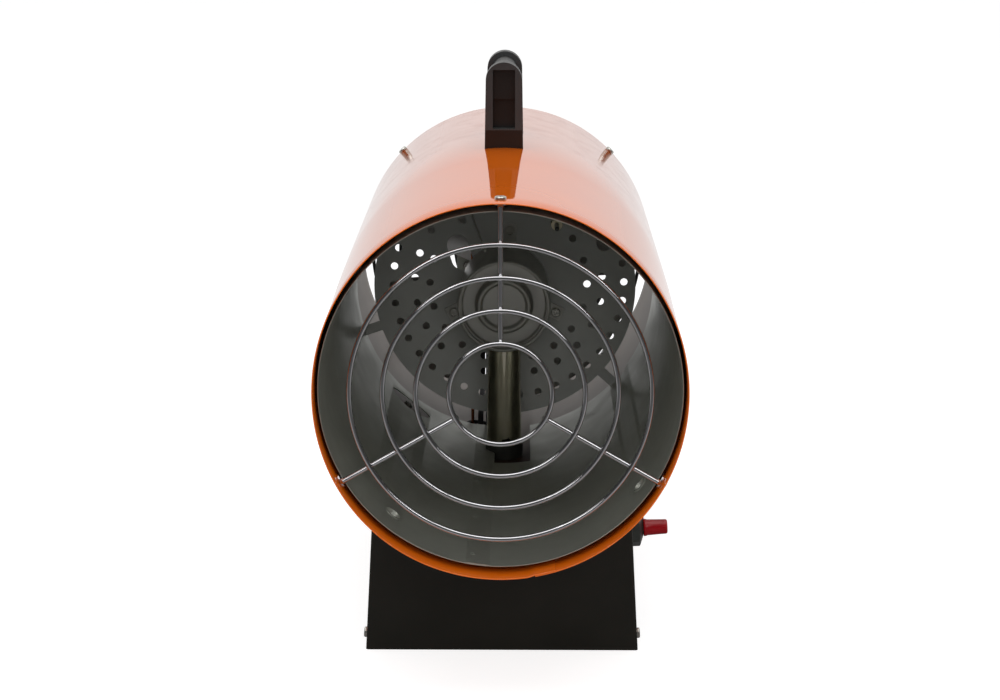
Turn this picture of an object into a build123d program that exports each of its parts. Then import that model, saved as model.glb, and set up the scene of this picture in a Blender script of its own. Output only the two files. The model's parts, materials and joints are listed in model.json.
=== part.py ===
from build123d import *
import os
from math import asin, cos, degrees, hypot, radians, sin, sqrt, tan

os.makedirs("parts", exist_ok=True)

# Portable propane heater. Millimetres. X is to the right seen from the hot end, Y runs from the
# hot end to the air intake, Z is up. The origin is on the floor, in the middle of the base.
# "Depth" is a distance behind the barrel's front edge. "Height" is a distance above the floor.
# Angles round the barrel start at +X and go towards +Z.

# ------------------------------------------------------------------ fits shared by all pieces
seat_gap = 0.05          # between a flat seat and the curved sheet that it is screwed to
shaft_clearance = 0.03   # radial, a shaft in its bearing and a button in its guide
hole_clearance = 0.15    # radial, a screw or a barrel through sheet
panel_gap = 0.3          # between folded sheets that slide into each other

# ------------------------------------------------------------------ barrel
shell_diameter = 250.0
shell_length = 525.0
shell_wall = 0.8
lap_width = 14.0         # overlap of the rolled sheet at its seam
lap_angle = -76.0
drum_gap = 4.2           # air space between drum and shell
drum_wall = 0.8
drum_front = 12.0
drum_room = 154.0        # left behind the drum, for the fan and its motor
drum_slot_width = 41.0   # open slot in the drum's floor, for the mixing tube
drum_slot_length = 108.0
dimple_diameter = 12.0   # pressed stand-offs that centre the drum
dimple_depth = 35.0      # behind the drum's front edge
dimple_angles = (-128.0, -38.0, 52.0, 142.0)
screw_window = (38.0, 26.0)      # oval hole in the drum over a saddle nut
notch_width = 22.0       # half-round notch in the drum's rear edge
notch_angle = -39.0

# ------------------------------------------------------------------ base
base_length = 290.0
base_width = 195.0       # at the floor
base_lean = 3.2          # degrees that each side leans inwards
base_sheet = 1.0
base_bend = 2.0          # outside radius of the base's upright corners
barrel_clearance = 90.0  # from the floor to the barrel's lowest line
rear_overhang = 125.0    # how far the barrel stands out behind the base
saddle_opening = 140.0   # width left open under the barrel, between the saddle flanges
saddle_screw_spread = 159.0      # between the left and the right saddle screws
saddle_screw_inset = 54.0        # from each end of the base
tray_flange = 16.0
tray_screw_height = 9.0
tray_screw_inset = 12.0
vent_count = 6
vent_size = (30.0, 3.0)
vent_pitch = 7.0

# ------------------------------------------------------------------ fasteners
screw_m4 = 4.0
screw_m3 = 3.0
head_m4 = 7.6
head_m3 = 7.3
head_height_m4 = 2.4
head_height_m3 = 1.9
nut_m4 = 7.0             # across flats
nut_height_m4 = 3.0
nut_m3 = 5.5
nut_height_m3 = 2.4
screw_tip = 1.2          # how far a screw stands out past what it clamps

# ------------------------------------------------------------------ wire guards
wire = 3.4
guard_ring_count = 4
guard_ring_pitch = 21.7
guard_ring_inset = 25.4  # the largest ring, inside the barrel's wall
guard_depth = 6.2        # centre plane of the rings
guard_angles = (90.0, 210.0, 330.0)
eye_diameter = 11.0
eye_thickness = 2.0
weld_bite = 0.2          # share of a wire's thickness that is welded into the next
rear_wire = 3.0
rear_ring_count = 5
rear_ring_pitch = 24.0
rear_ring_inset = 8.2
rear_guard_inset = 5.0   # ring plane in front of the barrel's rear edge
rear_angles = (45.0, 135.0, 225.0, 315.0)

# ------------------------------------------------------------------ burner
plate_diameter = 210.0
plate_sheet = 1.0
plate_setback = 9.0      # its front face, in front of the drum's rear edge
plate_hole = 5.9
plate_rows = ((92.6, 38, 0.8), (75.2, 23, 4.4), (63.0, 20, 17.6))   # radius, count, first angle
plate_rows_middle = (3.0, 2.5)   # x and y on the plate
plate_tab_width = 8.0
plate_tab_angles = (78.0, 198.0, 318.0)
plate_tab_foot = 7.0
rivet_diameter = 3.2
view_slot = (29.0, 17.0, -36.0, 27.8, 108.0)    # length, width, x, y, angle
lead_hole = (13.0, 79.5, 35.5)                  # diameter, x, y
cup_diameter = 70.0
cup_length = 80.0
cup_sheet = 1.0
rim_wire = 3.0           # thickness of the rolled rim
cap_face_diameter = 34.0
cap_diameter = 44.0
cap_step_diameter = 65.0
port_count = 16
port_diameter = 2.6
bracket_sheet = 1.2
bracket_width = 11.0
bracket_leg = 16.0
bracket_screw_circle = 92.0
bracket_angles = (85.0, 207.0, 333.0)
tube_setback = 21.0      # the mixing tube's axis, behind the cup's rim
tube_top_diameter = 25.8
tube_foot_diameter = 27.4
tube_wall = 1.2
collar_wall = 0.9
collar_above = 11.0      # above the barrel's inner floor
collar_below = 26.0      # below the barrel's inner floor
collar_flange = (50.0, 36.0)
jet_diameter = 5.0
nozzle_diameter = 10.0
nozzle_hex = 14.0
nozzle_length = 20.0
nozzle_neck = 5.0        # the part that passes through the collar's floor
nozzle_inlet = 7.0       # the pipe's axis above the nozzle's lower end
jet_length = 9.0
jet_bore = 1.8

# ------------------------------------------------------------------ igniter and thermocouple
ceramic_diameter = 9.0
ceramic_length = 16.0
ceramic_tail = 5.0       # behind the plate
ceramic_collar = 1.5     # how far its collar stands out behind the plate
electrode_diameter = 3.6
electrode_length = 30.0
electrode_place = (41.3, 51.8)   # x and y on the burner plate
probe_diameter = 1.6
probe_base = (-29.5, 68.0)       # x and y on the burner plate
probe_tip = (-14.4, 43.4)        # x and y at the cup's rim
probe_sleeve_diameter = 6.0
probe_sleeve_length = 2.0        # in front of the plate
probe_nut_height = 3.0

# ------------------------------------------------------------------ fan and motor
fan_diameter = 210.0
fan_setback = 46.0       # middle of the blades, behind the drum
fan_hub_diameter = 48.0
fan_hub_length = 18.0
blade_count = 4
blade_start = 35.0       # the first blade's angle
blade_sheet = 1.4
blade_chords = (44.0, 140.0)     # at the hub and at the tip
blade_pitches = (34.0, 13.0)     # degrees, at the hub and at the tip
shaft_diameter = 8.0
shaft_thread = 6.0
shaft_thread_length = 12.0
fan_nut_height = 6.0
motor_setback = 35.0     # its front face, behind the middle of the blades
motor_length = 54.0
motor_diameter = 82.0
motor_wall = 1.2
cap_sheet = 2.0
bearing_diameter = 22.0
bearing_width = 7.0
stator_length = 30.0
stator_bore = 46.0
rotor_gap = 0.7
strap_width = 22.0
strap_sheet = 2.0
strap_foot = 18.0
motor_screw_circle = 64.0

# ------------------------------------------------------------------ handle
handle_setback = 156.0   # the front post's face, behind the base's front
post_thickness = 13.0
hand_gap = 73.0
post_foot_width = 29.0
post_head_diameter = 27.2
grip_height = 50.6       # grip's axis above the barrel
grip_diameter = 19.0
grip_socket = 3.0
recess_width = 16.6
recess_steps = (4.0, 8.0)        # how deep the upper and lower recess go
foot_undercut = 3.5
foot_block = 14.5        # height of the plain block at the post's foot
screw_m5 = 5.0
head_m5 = 9.2
head_height_m5 = 2.8

# ------------------------------------------------------------------ gas inlet and controls
control_height = 69.5    # height of the row of controls on the right side
inlet_setback = 70.0     # each behind the base's front
valve_button_setback = 104.0
piezo_setback = 152.0
switch_setback = 206.0
hex_flats = 24.6
hex_height = 7.0
hex_cone = 3.0
spigot_diameter = 18.0
stub_diameter = 9.6
stub_length = 16.6
cap_root_diameter = 12.2
cap_tip_diameter = 10.8
cap_end = 1.2
valve_block = (74.0, 46.0, 40.0)         # along the base, up the side, inwards
valve_nose_diameter = 19.0
valve_nut_flats = 26.0
valve_nut_height = 3.0
button_diameter = 14.0
button_proud = 12.0
button_guide = 10.0      # length of the button below the panel
button_travel = 6.0
spring_wire = 0.8
piezo_diameter = 16.0
piezo_length = 42.0
piezo_flange = 22.0
piezo_flange_height = 2.5
piezo_button_diameter = 12.0
piezo_button_proud = 9.0
piezo_guide = 6.0
piezo_nut_flats = 22.0
piezo_nut_height = 5.0
bezel_size = (26.0, 17.0)
bezel_height = 2.2
rocker_size = (19.0, 12.0)
rocker_tilt = 9.0        # degrees each side of level
rocker_pin_diameter = 2.0
rocker_crown = 1.6       # how far the rocker's ends stand above the bezel
rocker_gap = 0.3
rocker_well = 5.5        # below the panel
switch_length = 20.0
gland_flats = 19.0
gland_bore = 7.0
gland_place = (52.0, 32.0)       # x and height on the rear panel
block_size = (40.0, 24.0, 14.0)  # terminal block
block_place = (-22.0, 230.0)     # its middle: x, and how far behind the base's front
grommet_bore = 19.0
grommet_wall = 2.5
grommet_place = (-20.0, 17.0)    # x, and how far in front of the base's back
thermostat_diameter = 16.0
pipe_diameter = 8.0
pipe_wall = 1.0
pipe_bend = 24.0
motor_lead_diameter = 4.4
ignition_lead_diameter = 3.2
thermo_lead_diameter = 2.4

# ------------------------------------------------------------------ worked out from the above
shell_radius = shell_diameter / 2
shell_inner = shell_radius - shell_wall
drum_radius = shell_inner - drum_gap
drum_inner = drum_radius - drum_wall
drum_back = shell_length - drum_room
front_overhang = shell_length - base_length - rear_overhang
axis_height = barrel_clearance + shell_radius
front_y = -(base_length / 2 + front_overhang)
base_front = front_overhang
base_back = front_overhang + base_length
lean = radians(base_lean)
cup_radius = cup_diameter / 2
plate_depth = drum_back - plate_setback
cup_front = plate_depth - cup_length
tube_depth = cup_front + tube_setback
fan_depth = drum_back + fan_setback
motor_depth = fan_depth + motor_setback
handle_front = base_front + handle_setback
inlet_depth = base_front + inlet_setback
valve_button_depth = base_front + valve_button_setback
piezo_depth = base_front + piezo_setback
switch_depth = base_front + switch_setback
block_depth = base_front + block_place[1]
grommet_depth = base_back - grommet_place[1]
guard_radii = [
    shell_inner - guard_ring_inset - guard_ring_pitch * number
    for number in reversed(range(guard_ring_count))
]
rear_radii = [
    shell_inner - rear_ring_inset - rear_ring_pitch * number
    for number in reversed(range(rear_ring_count))
]
saddle_screw_angle = degrees(asin(saddle_screw_spread / 2 / shell_radius))
handle_back = handle_front + 2 * post_thickness + hand_gap
grip_axis = shell_radius + grip_height
floor_inner = -shell_inner
pipe_radius = pipe_diameter / 2

barrel_axis = Axis((0, front_y, axis_height), (0, 1, 0))


def lengthwise(angle):
    """A plane along the barrel's axis, at an angle. Its x is depth and its y is radius."""
    out = Vector(cos(radians(angle)), 0, sin(radians(angle)))
    return Plane(origin=(0, front_y, axis_height), x_dir=(0, 1, 0), z_dir=Vector(0, 1, 0).cross(out))


def across(depth):
    """A plane across the barrel, centred on its axis, that faces the hot end."""
    return Plane(origin=(0, front_y + depth, axis_height), x_dir=(1, 0, 0), z_dir=(0, -1, 0))


def radial(depth, angle, radius):
    """A plane that faces outwards from the barrel's axis. Its x runs along the barrel."""
    out = Vector(cos(radians(angle)), 0, sin(radians(angle)))
    middle = Vector(0, front_y + depth, axis_height)
    return Plane(origin=middle + out * radius, x_dir=(0, 1, 0), z_dir=out)


def side_panel(depth, height, side=1):
    """A plane on the outer face of the base's right (1) or left (-1) side."""
    out = Vector(side * cos(lean), 0, sin(lean))
    middle = Vector(side * (base_width / 2 - height * tan(lean)), front_y + depth, height)
    return Plane(origin=middle, x_dir=(0, 1, 0), z_dir=out)


along = lengthwise(90)


def place(x, depth, height):
    """A point by its depth behind the front edge and its height above the floor."""
    return Vector(x, front_y + depth, height)


def band(low_x, high_x, low_y, high_y):
    """A rectangle between two corners, in the sketch that is being drawn."""
    with Locations(((low_x + high_x) / 2, (low_y + high_y) / 2)):
        Rectangle(high_x - low_x, high_y - low_y)


def flat_seat(radius, half_width):
    """How far out a flat face of that half width can sit inside a round wall."""
    return sqrt(radius ** 2 - half_width ** 2) - seat_gap


def finish(piece, name):
    """Label a finished piece and write it as its own STEP file."""
    piece.part.label = name
    export_step(piece.part, f"parts/{name}.step")


def pan_screw(head, head_height, shank, length):
    """A cross-head screw that points down from z = 0, with its head above."""
    with BuildPart() as screw:
        Cylinder(head / 2, head_height, align=(Align.CENTER, Align.CENTER, Align.MIN))
        fillet(screw.edges().group_by(Axis.Z)[-1], radius=head_height * 0.45)
        Cylinder(shank / 2, length, align=(Align.CENTER, Align.CENTER, Align.MAX))
        with BuildSketch(Plane.XY.offset(head_height)):
            Rectangle(head * 0.56, head * 0.13)
            Rectangle(head * 0.13, head * 0.56)
        extrude(amount=-head_height * 0.5, mode=Mode.SUBTRACT)
    return screw.part


def hex_nut(flats, height, bore):
    """A hexagon nut that stands up from z = 0."""
    with BuildPart() as nut:
        with BuildSketch():
            RegularPolygon(flats / 2, 6, major_radius=False)
            Circle(bore / 2, mode=Mode.SUBTRACT)
        extrude(amount=height)
    return nut.part


def coil_spring(mean_radius, thickness, length, turns):
    """A round-wire compression spring that stands up from z = 0."""
    rise = length - thickness
    with BuildPart() as spring:
        with BuildLine() as path:
            Helix(rise / turns, rise, mean_radius, center=(0, 0, thickness / 2))
        with BuildSketch(path.line ^ 0):
            Circle(thickness / 2)
        sweep(path=path.line)
    return spring.part


# ------------------------------------------------------------------ where the screws go
eye_radius = eye_diameter / 2
eye_seat = flat_seat(shell_inner, eye_radius)
guard_screw_depth = guard_depth + wire + eye_radius - 0.6
guard_seats = [radial(guard_screw_depth, angle, shell_radius) for angle in guard_angles]
rear_guard_depth = shell_length - rear_guard_inset
rear_screw_depth = rear_guard_depth - rear_wire - eye_radius + 0.6
rear_seats = [radial(rear_screw_depth, angle, shell_radius) for angle in rear_angles]
saddle_angles = (-90 - saddle_screw_angle, -90 + saddle_screw_angle)
saddle_depths = (base_front + saddle_screw_inset, base_back - saddle_screw_inset)
saddle_radius = shell_radius + seat_gap
saddle_seats = [
    radial(depth, angle, saddle_radius + base_sheet)
    for depth in saddle_depths
    for angle in saddle_angles
]
handle_screw_radius = flat_seat(shell_inner, head_m5 / 2)
post_middles = (handle_front + post_thickness / 2, handle_back - post_thickness / 2)
strap_depth = motor_depth - strap_sheet
strap_end = flat_seat(shell_inner, strap_width / 2)
strap_screw_depth = strap_depth + strap_sheet + strap_foot / 2
strap_seats = [radial(strap_screw_depth, angle, shell_radius) for angle in (-90, 90)]
tray_depths = (base_front + tray_screw_inset, base_back - tray_screw_inset)
tray_seats = [
    side_panel(depth, tray_screw_height, side) for depth in tray_depths for side in (-1, 1)
]
grommet_angle_x = grommet_place[0] / shell_radius
grommet_seat = Plane(
    origin=place(
        grommet_place[0],
        grommet_depth,
        axis_height - sqrt(shell_radius ** 2 - grommet_place[0] ** 2),
    ),
    x_dir=(0, 1, 0),
    z_dir=(grommet_angle_x, 0, -sqrt(1 - grommet_angle_x ** 2)),
)
m4_hole = screw_m4 / 2 + hole_clearance
tube_plane = Plane(origin=place(0, tube_depth, axis_height), x_dir=(1, 0, 0), z_dir=(0, 0, 1))
collar_hole = tube_foot_diameter / 2 + collar_wall + hole_clearance + 0.05

# ================================================================== barrel
with BuildPart() as outer_shell:
    with BuildSketch(along):
        band(0, shell_length, shell_inner, shell_radius)
    revolve(axis=barrel_axis)
    # the sheet's inner edge lies under its outer edge along the seam
    lap_half = degrees(lap_width / 2 / shell_radius)
    with BuildSketch(across(shell_length)):
        Circle(shell_inner + shell_wall / 2)
        Circle(shell_inner - shell_wall, mode=Mode.SUBTRACT)
        lap_sides = [radians(lap_angle - lap_half), radians(lap_angle + lap_half)]
        Polygon(
            (0, 0),
            *[(shell_diameter * cos(side), shell_diameter * sin(side)) for side in lap_sides],
            align=None,
            mode=Mode.INTERSECT,
        )
    extrude(amount=shell_length)
    handle_holes = [radial(depth, 90, shell_radius) for depth in post_middles]
    with BuildSketch(*guard_seats, *rear_seats, *saddle_seats, *strap_seats):
        Circle(m4_hole)
    extrude(amount=shell_wall * 6, both=True, mode=Mode.SUBTRACT)
    with BuildSketch(*handle_holes):
        Circle(screw_m5 / 2 + hole_clearance)
    extrude(amount=shell_wall * 3, both=True, mode=Mode.SUBTRACT)
    with BuildSketch(radial(tube_depth, -90, shell_radius)):
        Circle(collar_hole)
    extrude(amount=shell_wall * 6, both=True, mode=Mode.SUBTRACT)
    with BuildSketch(grommet_seat):
        Circle(grommet_bore / 2 + grommet_wall / 2)
    extrude(amount=shell_wall * 6, both=True, mode=Mode.SUBTRACT)
finish(outer_shell, "outer_shell")

with BuildPart() as inner_drum:
    with BuildSketch(along):
        band(drum_front, drum_back, drum_inner, drum_radius)
    revolve(axis=barrel_axis)
    dimple_seats = [
        radial(drum_front + dimple_depth, angle, drum_inner + drum_wall / 2)
        for angle in dimple_angles
    ]
    dimple_reach = flat_seat(shell_inner, dimple_diameter / 2) - drum_inner - drum_wall / 2
    with BuildSketch(*dimple_seats):
        Circle(dimple_diameter / 2)
    extrude(amount=dimple_reach)
    with BuildSketch(*dimple_seats):
        Circle(dimple_diameter / 2 - drum_wall)
    extrude(amount=dimple_reach - drum_wall, mode=Mode.SUBTRACT)
    with BuildSketch(*dimple_seats):
        Circle(dimple_diameter / 2 - drum_wall)
    extrude(amount=-drum_wall * 2, mode=Mode.SUBTRACT)
    # floor slot for the mixing tube, open at the rear
    with BuildSketch(radial(drum_back, -90, drum_radius)):
        band(-drum_slot_length, 1, -drum_slot_width / 2, drum_slot_width / 2)
    extrude(amount=drum_gap * 3, both=True, mode=Mode.SUBTRACT)
    # oval windows over the rear saddle nuts, and a notch in the rear edge
    window_depth = saddle_depths[1] - 6
    with BuildSketch(radial(window_depth, saddle_angles[0], drum_radius)):
        SlotOverall(screw_window[0], screw_window[1], rotation=90)
    extrude(amount=drum_gap * 3, both=True, mode=Mode.SUBTRACT)
    with BuildSketch(radial(drum_back, notch_angle, drum_radius)):
        SlotOverall(notch_width * 1.2, notch_width)
    extrude(amount=drum_gap * 2, both=True, mode=Mode.SUBTRACT)
    tab_foot_depth = plate_depth + plate_sheet + plate_tab_foot / 2
    rivet_seats = [radial(tab_foot_depth, angle, drum_radius) for angle in plate_tab_angles]
    with BuildSketch(*rivet_seats):
        Circle(rivet_diameter / 2)
    extrude(amount=drum_gap, both=True, mode=Mode.SUBTRACT)
finish(inner_drum, "inner_drum")


def wire_guard(radii, thickness, ring_depth, inward, angles, eye_depth):
    """Rings of wire on radial spokes that end in flat eyes against the barrel's wall.

    Inward is 1 where the spokes lie behind the rings, or -1 where they lie in front.
    """
    spoke_depth = ring_depth + inward * thickness * (1 - weld_bite)
    spoke_start = radii[0] - thickness * weld_bite
    with BuildPart() as guard:
        with BuildSketch(lengthwise((angles[0] + angles[1]) / 2)):
            with Locations(*[(ring_depth, radius) for radius in radii]):
                Circle(thickness / 2)
        revolve(axis=barrel_axis)
        with BuildSketch(*[radial(spoke_depth, angle, spoke_start) for angle in angles]):
            Circle(thickness / 2)
        extrude(amount=eye_seat - eye_thickness / 2 - spoke_start)
        with BuildSketch(*[radial(eye_depth, angle, eye_seat) for angle in angles]):
            Circle(eye_radius)
        extrude(amount=-eye_thickness)
        with BuildSketch(*[radial(eye_depth, angle, eye_seat) for angle in angles]):
            Circle(m4_hole)
        extrude(amount=eye_thickness * 2, both=True, mode=Mode.SUBTRACT)
    return guard


front_guard = wire_guard(guard_radii, wire, guard_depth, 1, guard_angles, guard_screw_depth)
finish(front_guard, "front_guard")

rear_guard = wire_guard(
    rear_radii, rear_wire, rear_guard_depth, -1, rear_angles, rear_screw_depth
)
finish(rear_guard, "rear_guard")

with BuildPart() as guard_screws:
    with Locations(*guard_seats, *rear_seats):
        add(pan_screw(head_m4, head_height_m4, screw_m4, shell_wall + eye_thickness + screw_tip))
finish(guard_screws, "guard_screws")

# ================================================================== burner
plate = across(plate_depth)
bracket_screw_radius = bracket_screw_circle / 2
bracket_spots = [
    (bracket_screw_radius * cos(radians(angle)), bracket_screw_radius * sin(radians(angle)))
    for angle in bracket_angles
]
electrode_radius_hole = ceramic_diameter / 2 + hole_clearance
probe_hole = probe_sleeve_diameter / 2 + hole_clearance
taken = [
    (electrode_place[0], electrode_place[1], electrode_radius_hole),
    (probe_base[0], probe_base[1], probe_hole),
    (lead_hole[1], lead_hole[2], lead_hole[0] / 2),
    (view_slot[2], view_slot[3], view_slot[0] / 2),
]


def is_free(x, y):
    """Whether a row's hole stays clear of the plate's larger openings."""
    return all(sqrt((x - u) ** 2 + (y - v) ** 2) > r + plate_hole / 2 + 1.5 for u, v, r in taken)


row_holes = []
for row_radius, row_count, row_start in plate_rows:
    for number in range(row_count):
        turn = radians(row_start + number * 360 / row_count)
        spot = (
            plate_rows_middle[0] + row_radius * cos(turn),
            plate_rows_middle[1] + row_radius * sin(turn),
        )
        if is_free(*spot):
            row_holes.append(spot)

with BuildPart() as burner_plate:
    with BuildSketch(plate):
        Circle(plate_diameter / 2)
        with Locations(*row_holes):
            Circle(plate_hole / 2, mode=Mode.SUBTRACT)
        with Locations((view_slot[2], view_slot[3])):
            SlotOverall(view_slot[0], view_slot[1], rotation=view_slot[4], mode=Mode.SUBTRACT)
        with Locations((lead_hole[1], lead_hole[2])):
            Circle(lead_hole[0] / 2, mode=Mode.SUBTRACT)
        with Locations(electrode_place):
            Circle(electrode_radius_hole, mode=Mode.SUBTRACT)
        with Locations(probe_base):
            Circle(probe_hole, mode=Mode.SUBTRACT)
        with Locations(*bracket_spots):
            Circle(screw_m3 / 2 + hole_clearance, mode=Mode.SUBTRACT)
    extrude(amount=-plate_sheet)
    # three tabs reach the drum and fold back along its wall
    tab_seat = flat_seat(drum_inner, plate_tab_width / 2)
    tab_roots = [radial(plate_depth, angle, plate_diameter / 2 - 2) for angle in plate_tab_angles]
    with BuildSketch(*tab_roots):
        band(0, plate_sheet, -plate_tab_width / 2, plate_tab_width / 2)
    extrude(amount=tab_seat - plate_diameter / 2 + 2)
    tab_feet = [radial(plate_depth, angle, tab_seat) for angle in plate_tab_angles]
    with BuildSketch(*tab_feet):
        band(0, plate_sheet + plate_tab_foot, -plate_tab_width / 2, plate_tab_width / 2)
    extrude(amount=-plate_sheet)
    with BuildSketch(*rivet_seats):
        Circle(rivet_diameter / 2)
    extrude(amount=drum_gap, both=True, mode=Mode.SUBTRACT)
finish(burner_plate, "burner_plate")

with BuildPart() as plate_rivets:
    with BuildSketch(*rivet_seats):
        Circle(rivet_diameter / 2)
    extrude(amount=-(drum_radius - tab_seat + plate_sheet))
    with BuildSketch(*rivet_seats):
        Circle(rivet_diameter)
    extrude(amount=rivet_diameter * 0.4)
    with BuildSketch(*[radial(tab_foot_depth, a, tab_seat - plate_sheet) for a in plate_tab_angles]):
        Circle(rivet_diameter * 0.9)
    extrude(amount=-rivet_diameter * 0.3)
finish(plate_rivets, "plate_rivets")

rim_radius = rim_wire / 2
mouth_radius = tube_top_diameter / 2 - tube_wall
with BuildPart() as burner_cup:
    with BuildSketch(along):
        band(cup_front + rim_radius, plate_depth, cup_radius - cup_sheet, cup_radius)
        band(plate_depth - cup_sheet, plate_depth, 0, cup_radius)
        with Locations((cup_front + rim_radius, cup_radius - cup_sheet / 2)):
            Circle(rim_radius)
    revolve(axis=barrel_axis)
    with BuildSketch(radial(tube_depth, -90, cup_radius)):
        Circle(mouth_radius)
    extrude(amount=cup_sheet * 4, both=True, mode=Mode.SUBTRACT)
finish(burner_cup, "burner_cup")

cap_bevel = (cap_diameter - cap_face_diameter) / 2 * 0.7
cap_floor = cup_front + 10.0
cap_shelf = cup_front + 6.0
cap_outer = cup_radius - cup_sheet - seat_gap
with BuildPart() as burner_cap:
    with BuildSketch(along):
        Polygon(
            (cup_front + 1, 0),
            (cup_front + 1, cap_face_diameter / 2),
            (cup_front + 1 + cap_bevel, cap_diameter / 2),
            (cap_floor, cap_diameter / 2),
            (cap_floor, cap_step_diameter / 2),
            (cap_shelf, cap_step_diameter / 2),
            (cap_shelf, cap_outer),
            (cap_shelf + cup_sheet, cap_outer),
            (cap_shelf + cup_sheet, cap_step_diameter / 2 + cup_sheet),
            (cap_floor + cup_sheet, cap_step_diameter / 2 + cup_sheet),
            (cap_floor + cup_sheet, cap_diameter / 2 - cup_sheet),
            (cup_front + 2 + cap_bevel, cap_diameter / 2 - cup_sheet),
            (cup_front + 2, cap_face_diameter / 2 - cup_sheet * 0.5),
            (cup_front + 2, 0),
            align=None,
        )
    revolve(axis=barrel_axis)
    with BuildSketch(across(cap_floor)):
        with PolarLocations((cap_diameter + cap_step_diameter) / 4, port_count):
            Circle(port_diameter / 2)
    extrude(amount=-cup_sheet * 3, both=True, mode=Mode.SUBTRACT)
finish(burner_cap, "burner_cap")

bracket_back = cup_radius + seat_gap
bracket_reach = bracket_screw_radius + bracket_width / 2
with BuildPart() as burner_brackets:
    with BuildSketch(*[radial(plate_depth, angle, bracket_back) for angle in bracket_angles]):
        band(-bracket_leg, 0, -bracket_width / 2, bracket_width / 2)
    extrude(amount=bracket_sheet)
    with BuildSketch(*[radial(plate_depth, angle, bracket_back) for angle in bracket_angles]):
        band(-bracket_sheet, 0, -bracket_width / 2, bracket_width / 2)
    extrude(amount=bracket_reach - bracket_back)
    with BuildSketch(plate):
        with Locations(*bracket_spots):
            Circle(screw_m3 / 2 + hole_clearance)
    extrude(amount=bracket_sheet * 2, mode=Mode.SUBTRACT)
finish(burner_brackets, "burner_brackets")


def around_burner(depth):
    """Planes on the three bracket screws, facing the hot end."""
    return [
        Plane(
            origin=place(
                bracket_screw_radius * cos(radians(angle)),
                depth,
                axis_height + bracket_screw_radius * sin(radians(angle)),
            ),
            x_dir=(cos(radians(angle)), 0, sin(radians(angle))),
            z_dir=(0, -1, 0),
        )
        for angle in bracket_angles
    ]


bracket_screw_length = bracket_sheet + plate_sheet + nut_height_m3 + screw_tip
with BuildPart() as burner_bracket_screws:
    with Locations(*around_burner(plate_depth - bracket_sheet)):
        add(pan_screw(head_m3, head_height_m3, screw_m3, bracket_screw_length))
finish(burner_bracket_screws, "burner_bracket_screws")

with BuildPart() as burner_bracket_nuts:
    with Locations(*around_burner(plate_depth + plate_sheet + nut_height_m3)):
        add(hex_nut(nut_m3, nut_height_m3, screw_m3))
finish(burner_bracket_nuts, "burner_bracket_nuts")

tube_floor = floor_inner + 2.0
with BuildPart() as mixing_tube:
    with BuildSketch(tube_plane.offset(-cup_radius + 6)):
        Circle(tube_top_diameter / 2)
    with BuildSketch(tube_plane.offset(tube_floor)):
        Circle(tube_foot_diameter / 2)
    loft()
    with BuildSketch(tube_plane.offset(-cup_radius + 6)):
        Circle(tube_top_diameter / 2 - tube_wall)
    with BuildSketch(tube_plane.offset(tube_floor)):
        Circle(tube_foot_diameter / 2 - tube_wall)
    loft(mode=Mode.SUBTRACT)
    # the top is cut to the cup's round wall
    with BuildSketch(across(tube_depth + tube_foot_diameter)):
        Circle(cup_radius + seat_gap)
    extrude(amount=2 * tube_foot_diameter, mode=Mode.SUBTRACT)
finish(mixing_tube, "mixing_tube")

collar_inner = tube_foot_diameter / 2 + shaft_clearance
collar_outer = collar_inner + collar_wall
collar_bottom = floor_inner - collar_below
flange_top = -shell_radius - seat_gap
with BuildPart() as tube_collar:
    with BuildSketch(tube_plane.offset(collar_bottom)):
        Circle(collar_outer)
        Circle(collar_inner, mode=Mode.SUBTRACT)
    extrude(amount=collar_above + collar_below)
    with BuildSketch(tube_plane.offset(collar_bottom)):
        Circle(collar_outer)
        Circle(nozzle_diameter / 2, mode=Mode.SUBTRACT)
    extrude(amount=-base_sheet)
    # a ring inside for the tube to stand on, and a flange under the barrel
    with BuildSketch(tube_plane.offset(tube_floor)):
        Circle(collar_outer)
        Circle(collar_inner - tube_wall, mode=Mode.SUBTRACT)
    extrude(amount=-base_sheet)
    with BuildSketch(tube_plane.offset(flange_top)):
        RectangleRounded(collar_flange[0], collar_flange[1], 4)
        Circle(collar_inner, mode=Mode.SUBTRACT)
    extrude(amount=-base_sheet * 1.5)
    # air windows
    with BuildSketch(tube_plane.offset(collar_bottom + 4)):
        Rectangle(collar_outer * 3, collar_outer * 0.9)
        Rectangle(collar_outer * 0.9, collar_outer * 3)
    extrude(amount=collar_below - 10, mode=Mode.SUBTRACT)
finish(tube_collar, "tube_collar")

nozzle_seat = collar_bottom - base_sheet
with BuildPart() as gas_nozzle:
    with BuildSketch(tube_plane.offset(nozzle_seat)):
        Circle(nozzle_diameter / 2)
    extrude(amount=nozzle_neck)
    with BuildSketch(tube_plane.offset(nozzle_seat + nozzle_neck)):
        Circle(jet_diameter / 2)
    extrude(amount=jet_length)
    with BuildSketch(tube_plane.offset(nozzle_seat)):
        RegularPolygon(nozzle_hex / 2, 6, major_radius=False, rotation=30)
    extrude(amount=-nozzle_length)
    with BuildSketch(tube_plane.offset(nozzle_seat + nozzle_neck + jet_length)):
        Circle(jet_bore / 2)
    extrude(amount=-jet_length, mode=Mode.SUBTRACT)
finish(gas_nozzle, "gas_nozzle")

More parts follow.
